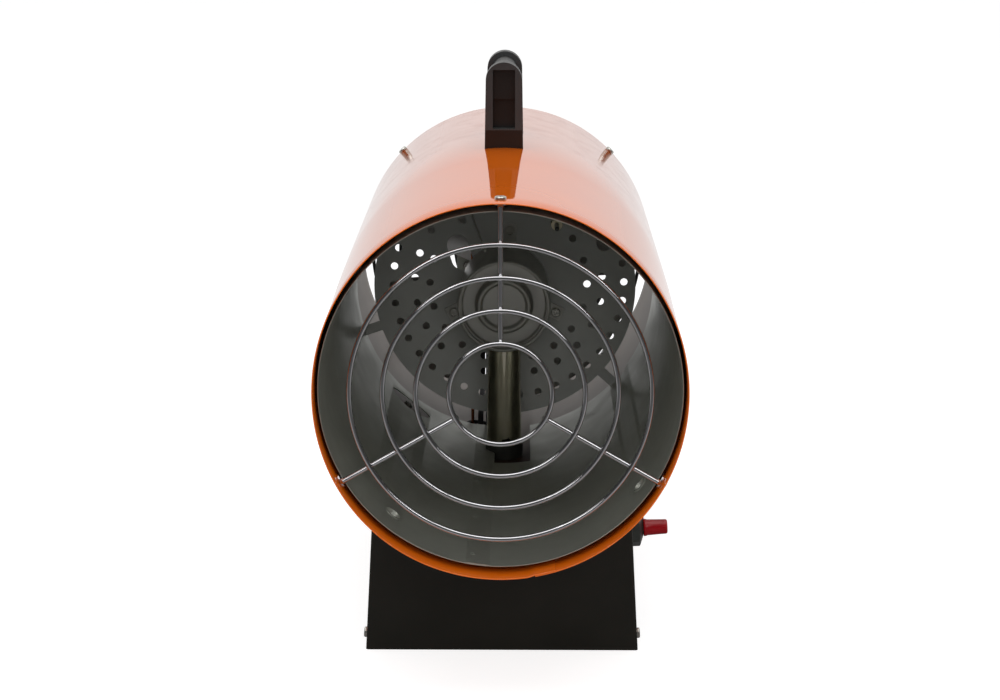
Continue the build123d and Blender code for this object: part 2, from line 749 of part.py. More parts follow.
# ------------------------------------------------------------------ igniter and thermocouple
electrode_back = place(
    electrode_place[0], plate_depth + plate_sheet + ceramic_tail, axis_height + electrode_place[1]
)
electrode_plane = Plane(origin=electrode_back, x_dir=(1, 0, 0), z_dir=(0, -1, 0))
with BuildPart() as igniter_ceramic:
    with BuildSketch(electrode_plane):
        Circle(ceramic_diameter / 2)
    extrude(amount=ceramic_length)
    with BuildSketch(electrode_plane.offset(ceramic_tail)):
        Circle(ceramic_diameter / 2 + ceramic_collar)
    extrude(amount=-ceramic_collar)
    with BuildSketch(electrode_plane):
        Circle(electrode_diameter / 2)
    extrude(amount=ceramic_length, mode=Mode.SUBTRACT)
finish(igniter_ceramic, "igniter_ceramic")

electrode_tail = 2.0
with BuildPart() as igniter_electrode:
    with BuildSketch(electrode_plane.offset(-electrode_tail)):
        Circle(electrode_diameter / 2)
    extrude(amount=electrode_tail + ceramic_tail + plate_sheet + electrode_length)
    fillet(igniter_electrode.edges().group_by(Axis.Y)[0], radius=electrode_diameter * 0.4)
finish(igniter_electrode, "igniter_electrode")

probe_start = place(probe_base[0], plate_depth, axis_height + probe_base[1])
probe_end = place(probe_tip[0], cup_front, axis_height + probe_tip[1])
probe_plane = Plane(origin=probe_start, x_dir=(1, 0, 0), z_dir=probe_end - probe_start)
with BuildPart() as thermocouple:
    with BuildSketch(probe_plane):
        Circle(probe_diameter / 2)
    extrude(amount=(probe_end - probe_start).length)
    sleeve_plane = Plane(origin=probe_start, x_dir=(1, 0, 0), z_dir=(0, -1, 0))
    with BuildSketch(sleeve_plane.offset(probe_sleeve_length)):
        Circle(probe_sleeve_diameter / 2)
    extrude(amount=-(probe_sleeve_length + plate_sheet))
    with BuildSketch(sleeve_plane.offset(-plate_sheet)):
        RegularPolygon(probe_sleeve_diameter * 0.8, 6, major_radius=False)
    extrude(amount=-probe_nut_height)
finish(thermocouple, "thermocouple")

# ================================================================== fan and motor
hub_front = fan_depth - fan_hub_length / 2
hub_back = fan_depth + fan_hub_length / 2
hub_radius = fan_hub_diameter / 2
shaft_radius = shaft_diameter / 2
shaft_start = hub_front - shaft_thread_length
shaft_end = motor_depth + motor_length + 4.0


def blade_section(turn, radius, pitch):
    """A plane across one blade at a radius, turned to the blade's pitch."""
    flat = radial(fan_depth, turn, radius)
    return Plane(origin=flat.origin, x_dir=flat.x_dir.rotate(Axis((0, 0, 0), flat.z_dir), pitch),
                 z_dir=flat.z_dir)


with BuildPart() as fan:
    with BuildSketch(along):
        band(hub_front, hub_back, shaft_radius, hub_radius)
    revolve(axis=barrel_axis)
    with BuildSketch(along):
        band(hub_front - 1, hub_back - 4, shaft_radius + 6, hub_radius - 3)
    revolve(axis=barrel_axis, mode=Mode.SUBTRACT)
    for number in range(blade_count):
        turn = blade_start + number * 360 / blade_count
        with BuildSketch(blade_section(turn, hub_radius - 2, 90 - blade_pitches[0])):
            RectangleRounded(blade_chords[0], blade_sheet, blade_sheet * 0.3)
        with BuildSketch(blade_section(turn, fan_diameter / 2, 90 - blade_pitches[1])):
            RectangleRounded(blade_chords[1], blade_sheet, blade_sheet * 0.3)
        loft()
    with BuildSketch(along):
        band(hub_front - 30, hub_back + 30, fan_diameter / 2 - 0.6, fan_diameter)
    revolve(axis=barrel_axis, mode=Mode.SUBTRACT)
finish(fan, "fan")

with BuildPart() as fan_nut:
    with BuildSketch(across(hub_front)):
        RegularPolygon(5, 6, major_radius=False)
        Circle(shaft_thread / 2, mode=Mode.SUBTRACT)
    extrude(amount=fan_nut_height)
finish(fan_nut, "fan_nut")

with BuildPart() as motor_shaft:
    with BuildSketch(along):
        band(shaft_start, shaft_end, 0, shaft_thread / 2)
        band(hub_front, shaft_end, 0, shaft_radius)
    revolve(axis=barrel_axis)
finish(motor_shaft, "motor_shaft")

motor_radius = motor_diameter / 2
motor_back = motor_depth + motor_length
stator_start = motor_depth + (motor_length - stator_length) / 2
stator_stop = stator_start + stator_length
bearing_radius = bearing_diameter / 2
with BuildPart() as motor_rotor:
    with BuildSketch(along):
        band(stator_start, stator_stop, shaft_radius, stator_bore / 2 - rotor_gap)
    revolve(axis=barrel_axis)
finish(motor_rotor, "motor_rotor")

with BuildPart() as stator_core:
    with BuildSketch(across(stator_stop)):
        Circle(motor_radius - motor_wall)
        Circle(stator_bore / 2, mode=Mode.SUBTRACT)
        with PolarLocations((motor_radius + stator_bore / 2) / 2, 4, start_angle=45):
            Rectangle(8, 10, mode=Mode.SUBTRACT)
    extrude(amount=stator_length)
finish(stator_core, "stator_core")

winding_length = (motor_length - stator_length) / 2 - cap_sheet - 3
with BuildPart() as stator_windings:
    with BuildSketch(along):
        for start in (stator_start - winding_length, stator_stop):
            band(start, start + winding_length, stator_bore / 2 + 3, motor_radius - motor_wall - 4)
    revolve(axis=barrel_axis)
finish(stator_windings, "stator_windings")

with BuildPart() as motor_can:
    with BuildSketch(along):
        band(motor_depth + cap_sheet, motor_back - cap_sheet, motor_radius - motor_wall, motor_radius)
    revolve(axis=barrel_axis)
finish(motor_can, "motor_can")


def end_cap(outer_depth, inward):
    """A pressed motor end: a disc with a pocket that holds a bearing."""
    inner_depth = outer_depth + inward * cap_sheet
    pocket_depth = outer_depth + inward * (cap_sheet + bearing_width)
    low, high = sorted((outer_depth, inner_depth))
    pocket_low, pocket_high = sorted((inner_depth, pocket_depth))
    with BuildPart() as cap:
        with BuildSketch(along):
            band(low, high, shaft_radius + 1, motor_radius)
            band(pocket_low, pocket_high, bearing_radius, bearing_radius + cap_sheet)
        revolve(axis=barrel_axis)
        with BuildSketch(across(high)):
            with PolarLocations(motor_radius * 0.62, 8, start_angle=22.5):
                Circle(3.5)
        extrude(amount=cap_sheet, mode=Mode.SUBTRACT)
    return cap.part


with BuildPart() as motor_end_caps:
    add(end_cap(motor_depth, 1))
    add(end_cap(motor_back, -1))
finish(motor_end_caps, "motor_end_caps")

with BuildPart() as motor_bearings:
    with BuildSketch(along):
        for start in (motor_depth + cap_sheet, motor_back - cap_sheet - bearing_width):
            band(start, start + bearing_width, shaft_radius + shaft_clearance, bearing_radius)
    revolve(axis=barrel_axis)
finish(motor_bearings, "motor_bearings")

motor_screw_spots = [
    Plane(
        origin=place(side * motor_screw_circle / 2, strap_depth, axis_height),
        x_dir=(1, 0, 0),
        z_dir=(0, -1, 0),
    )
    for side in (-1, 1)
]
with BuildPart() as motor_strap:
    with BuildSketch(across(strap_depth + strap_sheet)):
        Rectangle(strap_width, 2 * strap_end)
        Circle(motor_radius)
        Circle(bearing_radius + 2, mode=Mode.SUBTRACT)
        with Locations((-motor_screw_circle / 2, 0), (motor_screw_circle / 2, 0)):
            Circle(m4_hole, mode=Mode.SUBTRACT)
    extrude(amount=strap_sheet)
    strap_feet = [radial(strap_depth, angle, strap_end) for angle in (-90, 90)]
    with BuildSketch(*strap_feet):
        band(0, strap_sheet + strap_foot, -strap_width / 2, strap_width / 2)
    extrude(amount=-strap_sheet)
    with BuildSketch(*strap_seats):
        Circle(m4_hole)
    extrude(amount=strap_sheet * 4, both=True, mode=Mode.SUBTRACT)
finish(motor_strap, "motor_strap")

with BuildPart() as motor_screws:
    with Locations(*motor_screw_spots):
        add(pan_screw(head_m4, head_height_m4, screw_m4 - 2 * hole_clearance, strap_sheet))
finish(motor_screws, "motor_screws")

with BuildPart() as strap_screws:
    with Locations(*strap_seats):
        add(pan_screw(head_m4, head_height_m4, screw_m4, shell_wall + strap_sheet + 3))
finish(strap_screws, "strap_screws")

thermostat_place = Plane(
    origin=place(0, strap_depth, axis_height + motor_radius + thermostat_diameter),
    x_dir=(1, 0, 0),
    z_dir=(0, -1, 0),
)
with BuildPart() as limit_thermostat:
    with BuildSketch(thermostat_place):
        Circle(thermostat_diameter / 2)
    extrude(amount=6)
    with BuildSketch(thermostat_place):
        SlotOverall(thermostat_diameter + 12, 8)
    extrude(amount=1)
    with BuildSketch(thermostat_place.offset(6)):
        with Locations((-4, 0), (4, 0)):
            Rectangle(1.0, 6.3)
    extrude(amount=7)
finish(limit_thermostat, "limit_thermostat")

# ================================================================== base
base_profile_top = axis_height - shell_radius * 0.5


def base_outline(sheet, low, high):
    """The base's leaning cross-section between two heights, inset by a sheet's thickness."""
    half_low = base_width / 2 - low * tan(lean) - sheet / cos(lean)
    half_high = base_width / 2 - high * tan(lean) - sheet / cos(lean)
    Polygon(
        (-half_low, low - axis_height),
        (half_low, low - axis_height),
        (half_high, high - axis_height),
        (-half_high, high - axis_height),
        align=None,
    )


def upright(edge):
    """Whether an edge stands up along a corner of the base."""
    return abs(edge.tangent_at(0.5).Z) > 0.9


with BuildPart() as base_cavity:
    with BuildSketch(across(base_back - base_sheet)):
        base_outline(base_sheet, -1, base_profile_top)
    extrude(amount=base_length - 2 * base_sheet)
    fillet(base_cavity.edges().filter_by(upright), radius=base_bend - base_sheet)
    with BuildSketch(across(base_back)):
        Circle(saddle_radius + base_sheet)
    extrude(amount=base_length, mode=Mode.SUBTRACT)

nose_hole = valve_nose_diameter / 2 + hole_clearance
gland_plane = Plane(
    origin=place(gland_place[0], base_back, gland_place[1]), x_dir=(-1, 0, 0), z_dir=(0, 1, 0)
)
with BuildPart() as base_housing:
    with BuildSketch(across(base_back)):
        base_outline(0, 0, base_profile_top)
    extrude(amount=base_length)
    fillet(base_housing.edges().filter_by(upright), radius=base_bend)
    with BuildSketch(across(base_back)):
        Circle(saddle_radius)
    extrude(amount=base_length, mode=Mode.SUBTRACT)
    add(base_cavity.part, mode=Mode.SUBTRACT)
    # the space between the two saddle flanges is open
    with BuildSketch(Plane(origin=place(0, base_front + base_length / 2, 0))):
        Rectangle(saddle_opening, base_length - 2 * base_sheet)
    extrude(amount=base_profile_top, mode=Mode.SUBTRACT)
    with BuildSketch(*saddle_seats, *tray_seats):
        Circle(m4_hole)
    extrude(amount=base_sheet * 3, both=True, mode=Mode.SUBTRACT)
    with BuildSketch(side_panel(inlet_depth, control_height)):
        Circle(spigot_diameter / 2 + hole_clearance)
    extrude(amount=base_sheet * 3, both=True, mode=Mode.SUBTRACT)
    with BuildSketch(side_panel(valve_button_depth, control_height)):
        Circle(nose_hole)
    extrude(amount=base_sheet * 3, both=True, mode=Mode.SUBTRACT)
    with BuildSketch(side_panel(piezo_depth, control_height)):
        Circle(piezo_diameter / 2 + hole_clearance)
    extrude(amount=base_sheet * 3, both=True, mode=Mode.SUBTRACT)
    with BuildSketch(side_panel(switch_depth, control_height)):
        Rectangle(bezel_size[0] - 3, bezel_size[1] - 3)
    extrude(amount=base_sheet * 3, both=True, mode=Mode.SUBTRACT)
    with BuildSketch(gland_plane):
        Circle(gland_flats * 0.4 + hole_clearance)
        with Locations((gland_place[0] + 40, 6)):
            with GridLocations(0, vent_pitch, 1, vent_count):
                SlotOverall(vent_size[0], vent_size[1])
    extrude(amount=base_sheet * 3, both=True, mode=Mode.SUBTRACT)
finish(base_housing, "base_housing")

tray_inset = base_sheet + panel_gap
with BuildPart() as base_bottom_plate:
    with BuildSketch(across(base_back - tray_inset)):
        base_outline(tray_inset, 0, tray_flange)
        base_outline(tray_inset + base_sheet, base_sheet, tray_flange + 1)
    extrude(amount=base_length - 2 * tray_inset)
    with BuildSketch(across(base_back)):
        base_outline(tray_inset + base_sheet, base_sheet, tray_flange + 2)
    extrude(amount=base_length, mode=Mode.SUBTRACT)
    with BuildSketch(*tray_seats):
        Circle(m4_hole)
    extrude(amount=base_sheet * 5, both=True, mode=Mode.SUBTRACT)
finish(base_bottom_plate, "base_bottom_plate")

with BuildPart() as base_screws:
    with Locations(*tray_seats):
        add(pan_screw(head_m4, head_height_m4, screw_m4, 2 * base_sheet + panel_gap + 4))
finish(base_screws, "base_screws")

with BuildPart() as saddle_screws:
    with Locations(*[Plane(origin=s.origin, x_dir=s.x_dir, z_dir=s.z_dir) for s in saddle_seats]):
        add(
            pan_screw(
                head_m4, head_height_m4, screw_m4, base_sheet + shell_wall + nut_height_m4 + 0.6
            )
        )
finish(saddle_screws, "saddle_screws")

nut_seat = flat_seat(shell_inner, nut_m4 * 0.58)
nut_places = [
    radial(depth, angle, nut_seat - nut_height_m4)
    for depth in saddle_depths
    for angle in saddle_angles
]
with BuildPart() as saddle_nuts:
    with Locations(*nut_places):
        add(hex_nut(nut_m4, nut_height_m4, screw_m4))
finish(saddle_nuts, "saddle_nuts")

# ================================================================== gas inlet and valve
inlet_plane = side_panel(inlet_depth, control_height)
valve_gap = base_sheet + 0.5
with BuildPart() as gas_inlet_fitting:
    with BuildSketch(inlet_plane):
        RegularPolygon(hex_flats / 2, 6, major_radius=False, rotation=30)
    extrude(amount=hex_height + hex_cone)
    # the outer end of the hexagon is turned to a cone
    cone_height = hex_height + hex_cone
    hex_corner = hex_flats / 2 / cos(radians(30))
    with BuildSketch(Plane(origin=inlet_plane.origin, x_dir=inlet_plane.z_dir, z_dir=(0, 1, 0))):
        Polygon(
            (hex_height, hex_corner),
            (cone_height, cap_root_diameter / 2),
            (cone_height, hex_corner * 1.5),
            (hex_height, hex_corner * 1.5),
            align=None,
        )
    revolve(axis=Axis(inlet_plane.origin, inlet_plane.z_dir), mode=Mode.SUBTRACT)
    with BuildSketch(inlet_plane.offset(cone_height)):
        Circle(stub_diameter / 2)
    extrude(amount=stub_length)
    with BuildSketch(inlet_plane):
        Circle(spigot_diameter / 2)
    extrude(amount=-valve_gap - 8)
    with BuildSketch(inlet_plane.offset(cone_height + stub_length)):
        Circle(3)
    extrude(amount=-(cone_height + stub_length + 6), mode=Mode.SUBTRACT)
finish(gas_inlet_fitting, "gas_inlet_fitting")

cap_bore_radius = stub_diameter / 2 + shaft_clearance
cap_seat = cone_height + 0.3
cap_length = stub_length + cap_end
with BuildPart() as inlet_cap:
    with BuildSketch(inlet_plane.offset(cap_seat)):
        Circle(cap_root_diameter / 2)
    with BuildSketch(inlet_plane.offset(cap_seat + cap_length)):
        Circle(cap_tip_diameter / 2)
    loft()
    fillet(inlet_cap.edges().group_by(Axis(inlet_plane.origin, inlet_plane.z_dir))[-1], radius=0.8)
    with BuildSketch(inlet_plane.offset(cap_seat)):
        Circle(cap_bore_radius)
    extrude(amount=stub_length, mode=Mode.SUBTRACT)
finish(inlet_cap, "inlet_cap")

valve_plane = inlet_plane.offset(-valve_gap)
button_shift = valve_button_depth - inlet_depth
guide_radius = button_diameter / 2 + shaft_clearance
spring_room = 11.0
guide_depth = button_guide + spring_room
with BuildPart() as gas_valve_body:
    with BuildSketch(valve_plane):
        with Locations((button_shift / 2, -valve_block[1] / 2 + 15)):
            RectangleRounded(valve_block[0], valve_block[1], 5)
    extrude(amount=-valve_block[2])
    with BuildSketch(inlet_plane):
        with Locations((button_shift, 0)):
            Circle(valve_nose_diameter / 2)
    extrude(amount=valve_nut_height + 1)
    with BuildSketch(inlet_plane):
        with Locations((button_shift, 0)):
            Circle(valve_nose_diameter / 2)
    extrude(amount=-valve_gap)
    with BuildSketch(inlet_plane.offset(valve_nut_height + 1)):
        with Locations((button_shift, 0)):
            Circle(guide_radius)
    extrude(amount=-(valve_nut_height + 1 + guide_depth), mode=Mode.SUBTRACT)
    with BuildSketch(valve_plane):
        Circle(spigot_diameter / 2 + seat_gap)
    extrude(amount=-8.1, mode=Mode.SUBTRACT)
finish(gas_valve_body, "gas_valve_body")

button_plane = side_panel(valve_button_depth, control_height)
with BuildPart() as valve_nut:
    with BuildSketch(button_plane):
        RegularPolygon(valve_nut_flats / 2, 6, major_radius=False)
        Circle(valve_nose_diameter / 2, mode=Mode.SUBTRACT)
    extrude(amount=valve_nut_height)
finish(valve_nut, "valve_nut")

with BuildPart() as valve_button:
    with BuildSketch(button_plane.offset(-button_guide)):
        Circle(button_diameter / 2)
    extrude(amount=button_guide + button_proud)
    fillet(
        valve_button.edges().group_by(Axis(button_plane.origin, button_plane.z_dir))[-1], radius=1.5
    )
finish(valve_button, "valve_button")

with BuildPart() as valve_spring:
    with Locations(button_plane.offset(-guide_depth)):
        add(coil_spring(button_diameter / 2 - 2, spring_wire, spring_room, 5))
finish(valve_spring, "valve_spring")

pipe_level = axis_height + nozzle_seat - nozzle_length + nozzle_inlet
valve_outlet_depth = inlet_depth + button_shift / 2 + valve_block[0] / 2
pipe_x = 62.0
nozzle_side = nozzle_hex / 2
with BuildPart() as gas_pipe:
    with BuildLine() as pipe_path:
        FilletPolyline(
            place(pipe_x, valve_outlet_depth, pipe_level),
            place(pipe_x, tube_depth, pipe_level),
            place(nozzle_side, tube_depth, pipe_level),
            radius=pipe_bend,
        )
    with BuildSketch(Plane(origin=pipe_path.line @ 0, z_dir=pipe_path.line % 0)):
        Circle(pipe_radius)
    sweep(path=pipe_path.line)
    with BuildSketch(Plane(origin=pipe_path.line @ 0, z_dir=pipe_path.line % 0)):
        Circle(pipe_radius - pipe_wall)
    sweep(path=pipe_path.line, mode=Mode.SUBTRACT)
finish(gas_pipe, "gas_pipe")

# ================================================================== igniter and switch
piezo_plane = side_panel(piezo_depth, control_height)
piezo_bore = piezo_button_diameter / 2 + shaft_clearance
piezo_room = 6.6
with BuildPart() as piezo_body:
    with BuildSketch(piezo_plane):
        Circle(piezo_flange / 2)
    extrude(amount=piezo_flange_height)
    with BuildSketch(piezo_plane):
        Circle(piezo_diameter / 2)
    extrude(amount=-piezo_length)
    with BuildSketch(piezo_plane.offset(piezo_flange_height)):
        Circle(piezo_bore)
    extrude(amount=-(piezo_flange_height + piezo_guide + piezo_room), mode=Mode.SUBTRACT)
finish(piezo_body, "piezo_body")

with BuildPart() as piezo_nut:
    with BuildSketch(piezo_plane.offset(-base_sheet)):
        RegularPolygon(piezo_nut_flats / 2, 6, major_radius=False)
        Circle(piezo_diameter / 2, mode=Mode.SUBTRACT)
    extrude(amount=-piezo_nut_height)
finish(piezo_nut, "piezo_nut")

with BuildPart() as piezo_button:
    with BuildSketch(piezo_plane.offset(-piezo_guide)):
        Circle(piezo_button_diameter / 2)
    extrude(amount=piezo_guide + piezo_button_proud)
    fillet(
        piezo_button.edges().group_by(Axis(piezo_plane.origin, piezo_plane.z_dir))[-1], radius=1.2
    )
finish(piezo_button, "piezo_button")

with BuildPart() as piezo_spring:
    with Locations(piezo_plane.offset(-piezo_guide - piezo_room)):
        add(coil_spring(piezo_button_diameter / 2 - 2, spring_wire, piezo_room, 4))
finish(piezo_spring, "piezo_spring")

switch_plane = side_panel(switch_depth, control_height)
rocker_half = rocker_size[0] / 2
rocker_top = bezel_height + rocker_crown
rocker_swing = rocker_half * cos(radians(rocker_tilt)) + rocker_top * sin(radians(rocker_tilt))
well_half = max(rocker_swing, hypot(rocker_half, bezel_height)) + rocker_gap
with BuildPart() as switch_body:
    with BuildSketch(switch_plane):
        RectangleRounded(bezel_size[0], bezel_size[1], 2)
    extrude(amount=bezel_height)
    with BuildSketch(switch_plane):
        Rectangle(bezel_size[0] - 3 - 2 * hole_clearance, bezel_size[1] - 3 - 2 * hole_clearance)
    extrude(amount=-switch_length)
    with BuildSketch(switch_plane.offset(bezel_height)):
        Rectangle(2 * well_half, rocker_size[1] + 2 * rocker_gap)
    extrude(amount=-(bezel_height + rocker_well), mode=Mode.SUBTRACT)
    # the rocker's pin turns in the two long walls
    with BuildSketch(Plane(origin=switch_plane.origin, x_dir=(0, 1, 0), z_dir=switch_plane.y_dir)):
        Circle(rocker_pin_diameter / 2 + shaft_clearance)
    extrude(amount=rocker_size[1] / 2 + 1, both=True, mode=Mode.SUBTRACT)
    with BuildSketch(switch_plane.offset(-switch_length)):
        with GridLocations(8, 0, 2, 1):
            Rectangle(0.8, 6.3)
    extrude(amount=-9)
finish(switch_body, "switch_body")

rocker_plane = Plane(origin=switch_plane.origin, x_dir=(0, 1, 0), z_dir=switch_plane.y_dir)
with BuildPart() as switch_rocker:
    with BuildSketch(rocker_plane.rotated((0, 0, rocker_tilt)).offset(-rocker_size[1] / 2)):
        Polygon(
            (-rocker_half, rocker_pin_diameter),
            (rocker_half, rocker_pin_diameter),
            (rocker_half, -rocker_top),
            (0, -bezel_height),
            (-rocker_half, -rocker_top),
            align=None,
        )
    extrude(amount=rocker_size[1])
    with BuildSketch(rocker_plane):
        Circle(rocker_pin_diameter / 2)
    extrude(amount=rocker_size[1] / 2 + 0.9, both=True)
finish(switch_rocker, "switch_rocker")

# ================================================================== cable inlet and wiring
gland_radius = gland_flats * 0.4
with BuildPart() as cable_gland:
    with BuildSketch(gland_plane):
        RegularPolygon(gland_flats / 2, 6, major_radius=False)
    extrude(amount=5)
    with BuildSketch(gland_plane.offset(5)):
        Circle(gland_radius)
    extrude(amount=9)
    fillet(cable_gland.edges().group_by(Axis.Y)[-1], radius=2.5)
    with BuildSketch(gland_plane):
        Circle(gland_radius)
    extrude(amount=-(base_sheet + 8))
    with BuildSketch(gland_plane.offset(14)):
        Circle(gland_bore / 2)
    extrude(amount=-(14 + base_sheet + 8), mode=Mode.SUBTRACT)
finish(cable_gland, "cable_gland")

with BuildPart() as gland_locknut:
    with BuildSketch(gland_plane.offset(-base_sheet)):
        RegularPolygon(gland_flats / 2, 6, major_radius=False)
        Circle(gland_radius, mode=Mode.SUBTRACT)
    extrude(amount=-4)
finish(gland_locknut, "gland_locknut")

with BuildPart() as terminal_block:
    with BuildSketch(Plane(origin=place(block_place[0], block_depth, base_sheet))):
        Rectangle(block_size[0], block_size[1])
    extrude(amount=block_size[2])
    with BuildSketch(
        Plane(origin=place(block_place[0], block_depth, base_sheet + block_size[2]))
    ):
        with GridLocations(block_size[0] / 4, block_size[1] / 2, 4, 2):
            Circle(2.2)
    extrude(amount=-4, mode=Mode.SUBTRACT)
finish(terminal_block, "terminal_block")

with BuildPart() as lead_grommet:
    with BuildSketch(grommet_seat.offset(2)):
        Circle(grommet_bore / 2 + grommet_wall)
        Circle(grommet_bore / 2, mode=Mode.SUBTRACT)
    extrude(amount=-(shell_wall + 4.5))
    with BuildSketch(grommet_seat.offset(seat_gap)):
        Circle(grommet_bore / 2 + grommet_wall)
        Circle(grommet_bore / 2 + grommet_wall / 2 - 0.1, mode=Mode.SUBTRACT)
    extrude(amount=-(shell_wall + 1.2), mode=Mode.SUBTRACT)
finish(lead_grommet, "lead_grommet")


def lead(diameter, points, radii):
    """A lead of round section along straight runs joined by arcs."""
    with BuildPart() as cord:
        with BuildLine() as route:
            FilletPolyline(*points, radius=radii)
        with BuildSketch(Plane(origin=route.line @ 0, z_dir=route.line % 0)):
            Circle(diameter / 2)
        sweep(path=route.line)
    return cord


lead_drop = grommet_depth
lead_floor = 25.0
piezo_tail = piezo_plane.offset(-piezo_length).origin
electrode_end = electrode_back + Vector(0, electrode_tail, 0)
ignition_x = grommet_place[0] + 6
ignition_lead = lead(
    ignition_lead_diameter,
    [
        piezo_tail,
        Vector(34, piezo_tail.Y, piezo_tail.Z - 1),
        place(34, lead_drop - 25, 50),
        place(ignition_x, lead_drop, 46),
        Vector(ignition_x, front_y + lead_drop, electrode_end.Z),
        Vector(electrode_end.X, front_y + lead_drop, electrode_end.Z),
        electrode_end,
    ],
    [7, 18, 20, 20, 8],
)
finish(ignition_lead, "ignition_lead")

probe_tail = probe_start + Vector(0, plate_sheet + probe_nut_height, 0)
valve_back = valve_plane.offset(-valve_block[2] - seat_gap)
valve_tail = valve_back.origin + Vector(0, button_shift, 0) - valve_back.y_dir * 6
probe_drop_x = grommet_place[0] - 6.5
thermocouple_lead = lead(
    thermo_lead_diameter,
    [
        probe_tail,
        place(probe_drop_x, lead_drop, probe_tail.Z),
        place(probe_drop_x, lead_drop, lead_floor),
        place(probe_drop_x, lead_drop - 61, lead_floor),
        place(24, lead_drop - 93, lead_floor),
        Vector(24, valve_tail.Y, lead_floor),
        valve_tail - valve_back.z_dir * 12,
        valve_tail,
    ],
    [8, 16, 14, 14, 14, 5],
)
finish(thermocouple_lead, "thermocouple_lead")

motor_lead_x = grommet_place[0]
motor_lead_depth = motor_depth + motor_length * 0.6
can_inner_edge = abs(motor_lead_x) - motor_lead_diameter / 2
can_side = -sqrt(motor_radius ** 2 - can_inner_edge ** 2) - seat_gap
duct_floor = floor_inner + 11.0
motor_lead = lead(
    motor_lead_diameter,
    [
        place(motor_lead_x, motor_lead_depth, axis_height + can_side),
        place(motor_lead_x, motor_lead_depth, axis_height + duct_floor),
        place(motor_lead_x, lead_drop, axis_height + duct_floor),
        place(motor_lead_x, lead_drop, 9),
        place(motor_lead_x, block_depth + block_size[1] / 2, 9),
    ],
    [18, 9, 14],
)
finish(motor_lead, "motor_lead")

# ================================================================== handle
post_foot = post_foot_width / 2
head_radius = post_head_diameter / 2
foot_bottom = shell_radius - 6


def handle_post(face_depth, outward):
    """A moulded post. Outward is 1 where its recessed face looks at the hot end, else -1."""
    back_depth = face_depth + outward * post_thickness
    low, high = sorted((face_depth, back_depth))
    with BuildPart() as post:
        with BuildSketch(across(high)):
            Polygon(
                (-post_foot, foot_bottom),
                (post_foot, foot_bottom),
                (head_radius, grip_axis),
                (-head_radius, grip_axis),
                align=None,
            )
            with Locations((0, grip_axis)):
                Circle(head_radius)
        extrude(amount=post_thickness)
        recess_top = grip_axis + head_radius * 0.58
        recess_low = shell_radius + foot_block
        recess_middle = (recess_top + recess_low) / 2
        face = across(face_depth)
        half = recess_width / 2
        with BuildSketch(face):
            band(-half, half, recess_middle, recess_top)
        extrude(amount=-outward * recess_steps[0], mode=Mode.SUBTRACT)
        with BuildSketch(face):
            band(-half, half, recess_low, recess_middle)
        extrude(amount=-outward * recess_steps[1], mode=Mode.SUBTRACT)
        # the foot is cut back below the recess
        foot_edge = front_y + face_depth
        with BuildSketch(Plane.YZ):
            Polygon(
                (foot_edge, axis_height + recess_low - 1),
                (foot_edge, axis_height + foot_bottom - 1),
                (foot_edge + outward * foot_undercut, axis_height + foot_bottom - 1),
                align=None,
            )
        extrude(amount=post_foot_width, both=True, mode=Mode.SUBTRACT)
        with BuildSketch(across(high + 1)):
            Circle(shell_radius + seat_gap)
        extrude(amount=post_thickness + 2, mode=Mode.SUBTRACT)
        # socket for the grip, and a pilot hole for the screw from below
        with BuildSketch(across(back_depth)):
            with Locations((0, grip_axis)):
                Circle(grip_diameter / 2 + seat_gap)
        extrude(amount=outward * grip_socket, mode=Mode.SUBTRACT)
        with BuildSketch(radial((low + high) / 2, 90, shell_radius)):
            Circle(screw_m5 / 2)
        extrude(amount=recess_low - shell_radius - 2, mode=Mode.SUBTRACT)
    return post


handle_front_post = handle_post(handle_front, 1)
finish(handle_front_post, "handle_front_post")
handle_rear_post = handle_post(handle_back, -1)
finish(handle_rear_post, "handle_rear_post")

grip_start = handle_front + post_thickness - grip_socket
grip_length = hand_gap + 2 * grip_socket
with BuildPart() as handle_grip:
    with BuildSketch(across(grip_start + grip_length)):
        with Locations((0, grip_axis)):
            Circle(grip_diameter / 2)
            Circle(grip_diameter / 2 - 2.5, mode=Mode.SUBTRACT)
    extrude(amount=grip_length)
finish(handle_grip, "handle_grip")

handle_screw_length = shell_radius - handle_screw_radius + foot_block - 3
handle_screw_seats = [
    Plane(
        origin=place(0, depth, axis_height + handle_screw_radius),
        x_dir=(1, 0, 0),
        z_dir=(0, 0, -1),
    )
    for depth in post_middles
]
with BuildPart() as handle_screws:
    with Locations(*handle_screw_seats):
        add(pan_screw(head_m5, head_height_m5, screw_m5, handle_screw_length))
finish(handle_screws, "handle_screws")
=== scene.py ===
import json
import logging
import math
from dataclasses import dataclass
from enum import Enum
from typing import Sequence

import bmesh
import bpy
from mathutils import Matrix, Vector

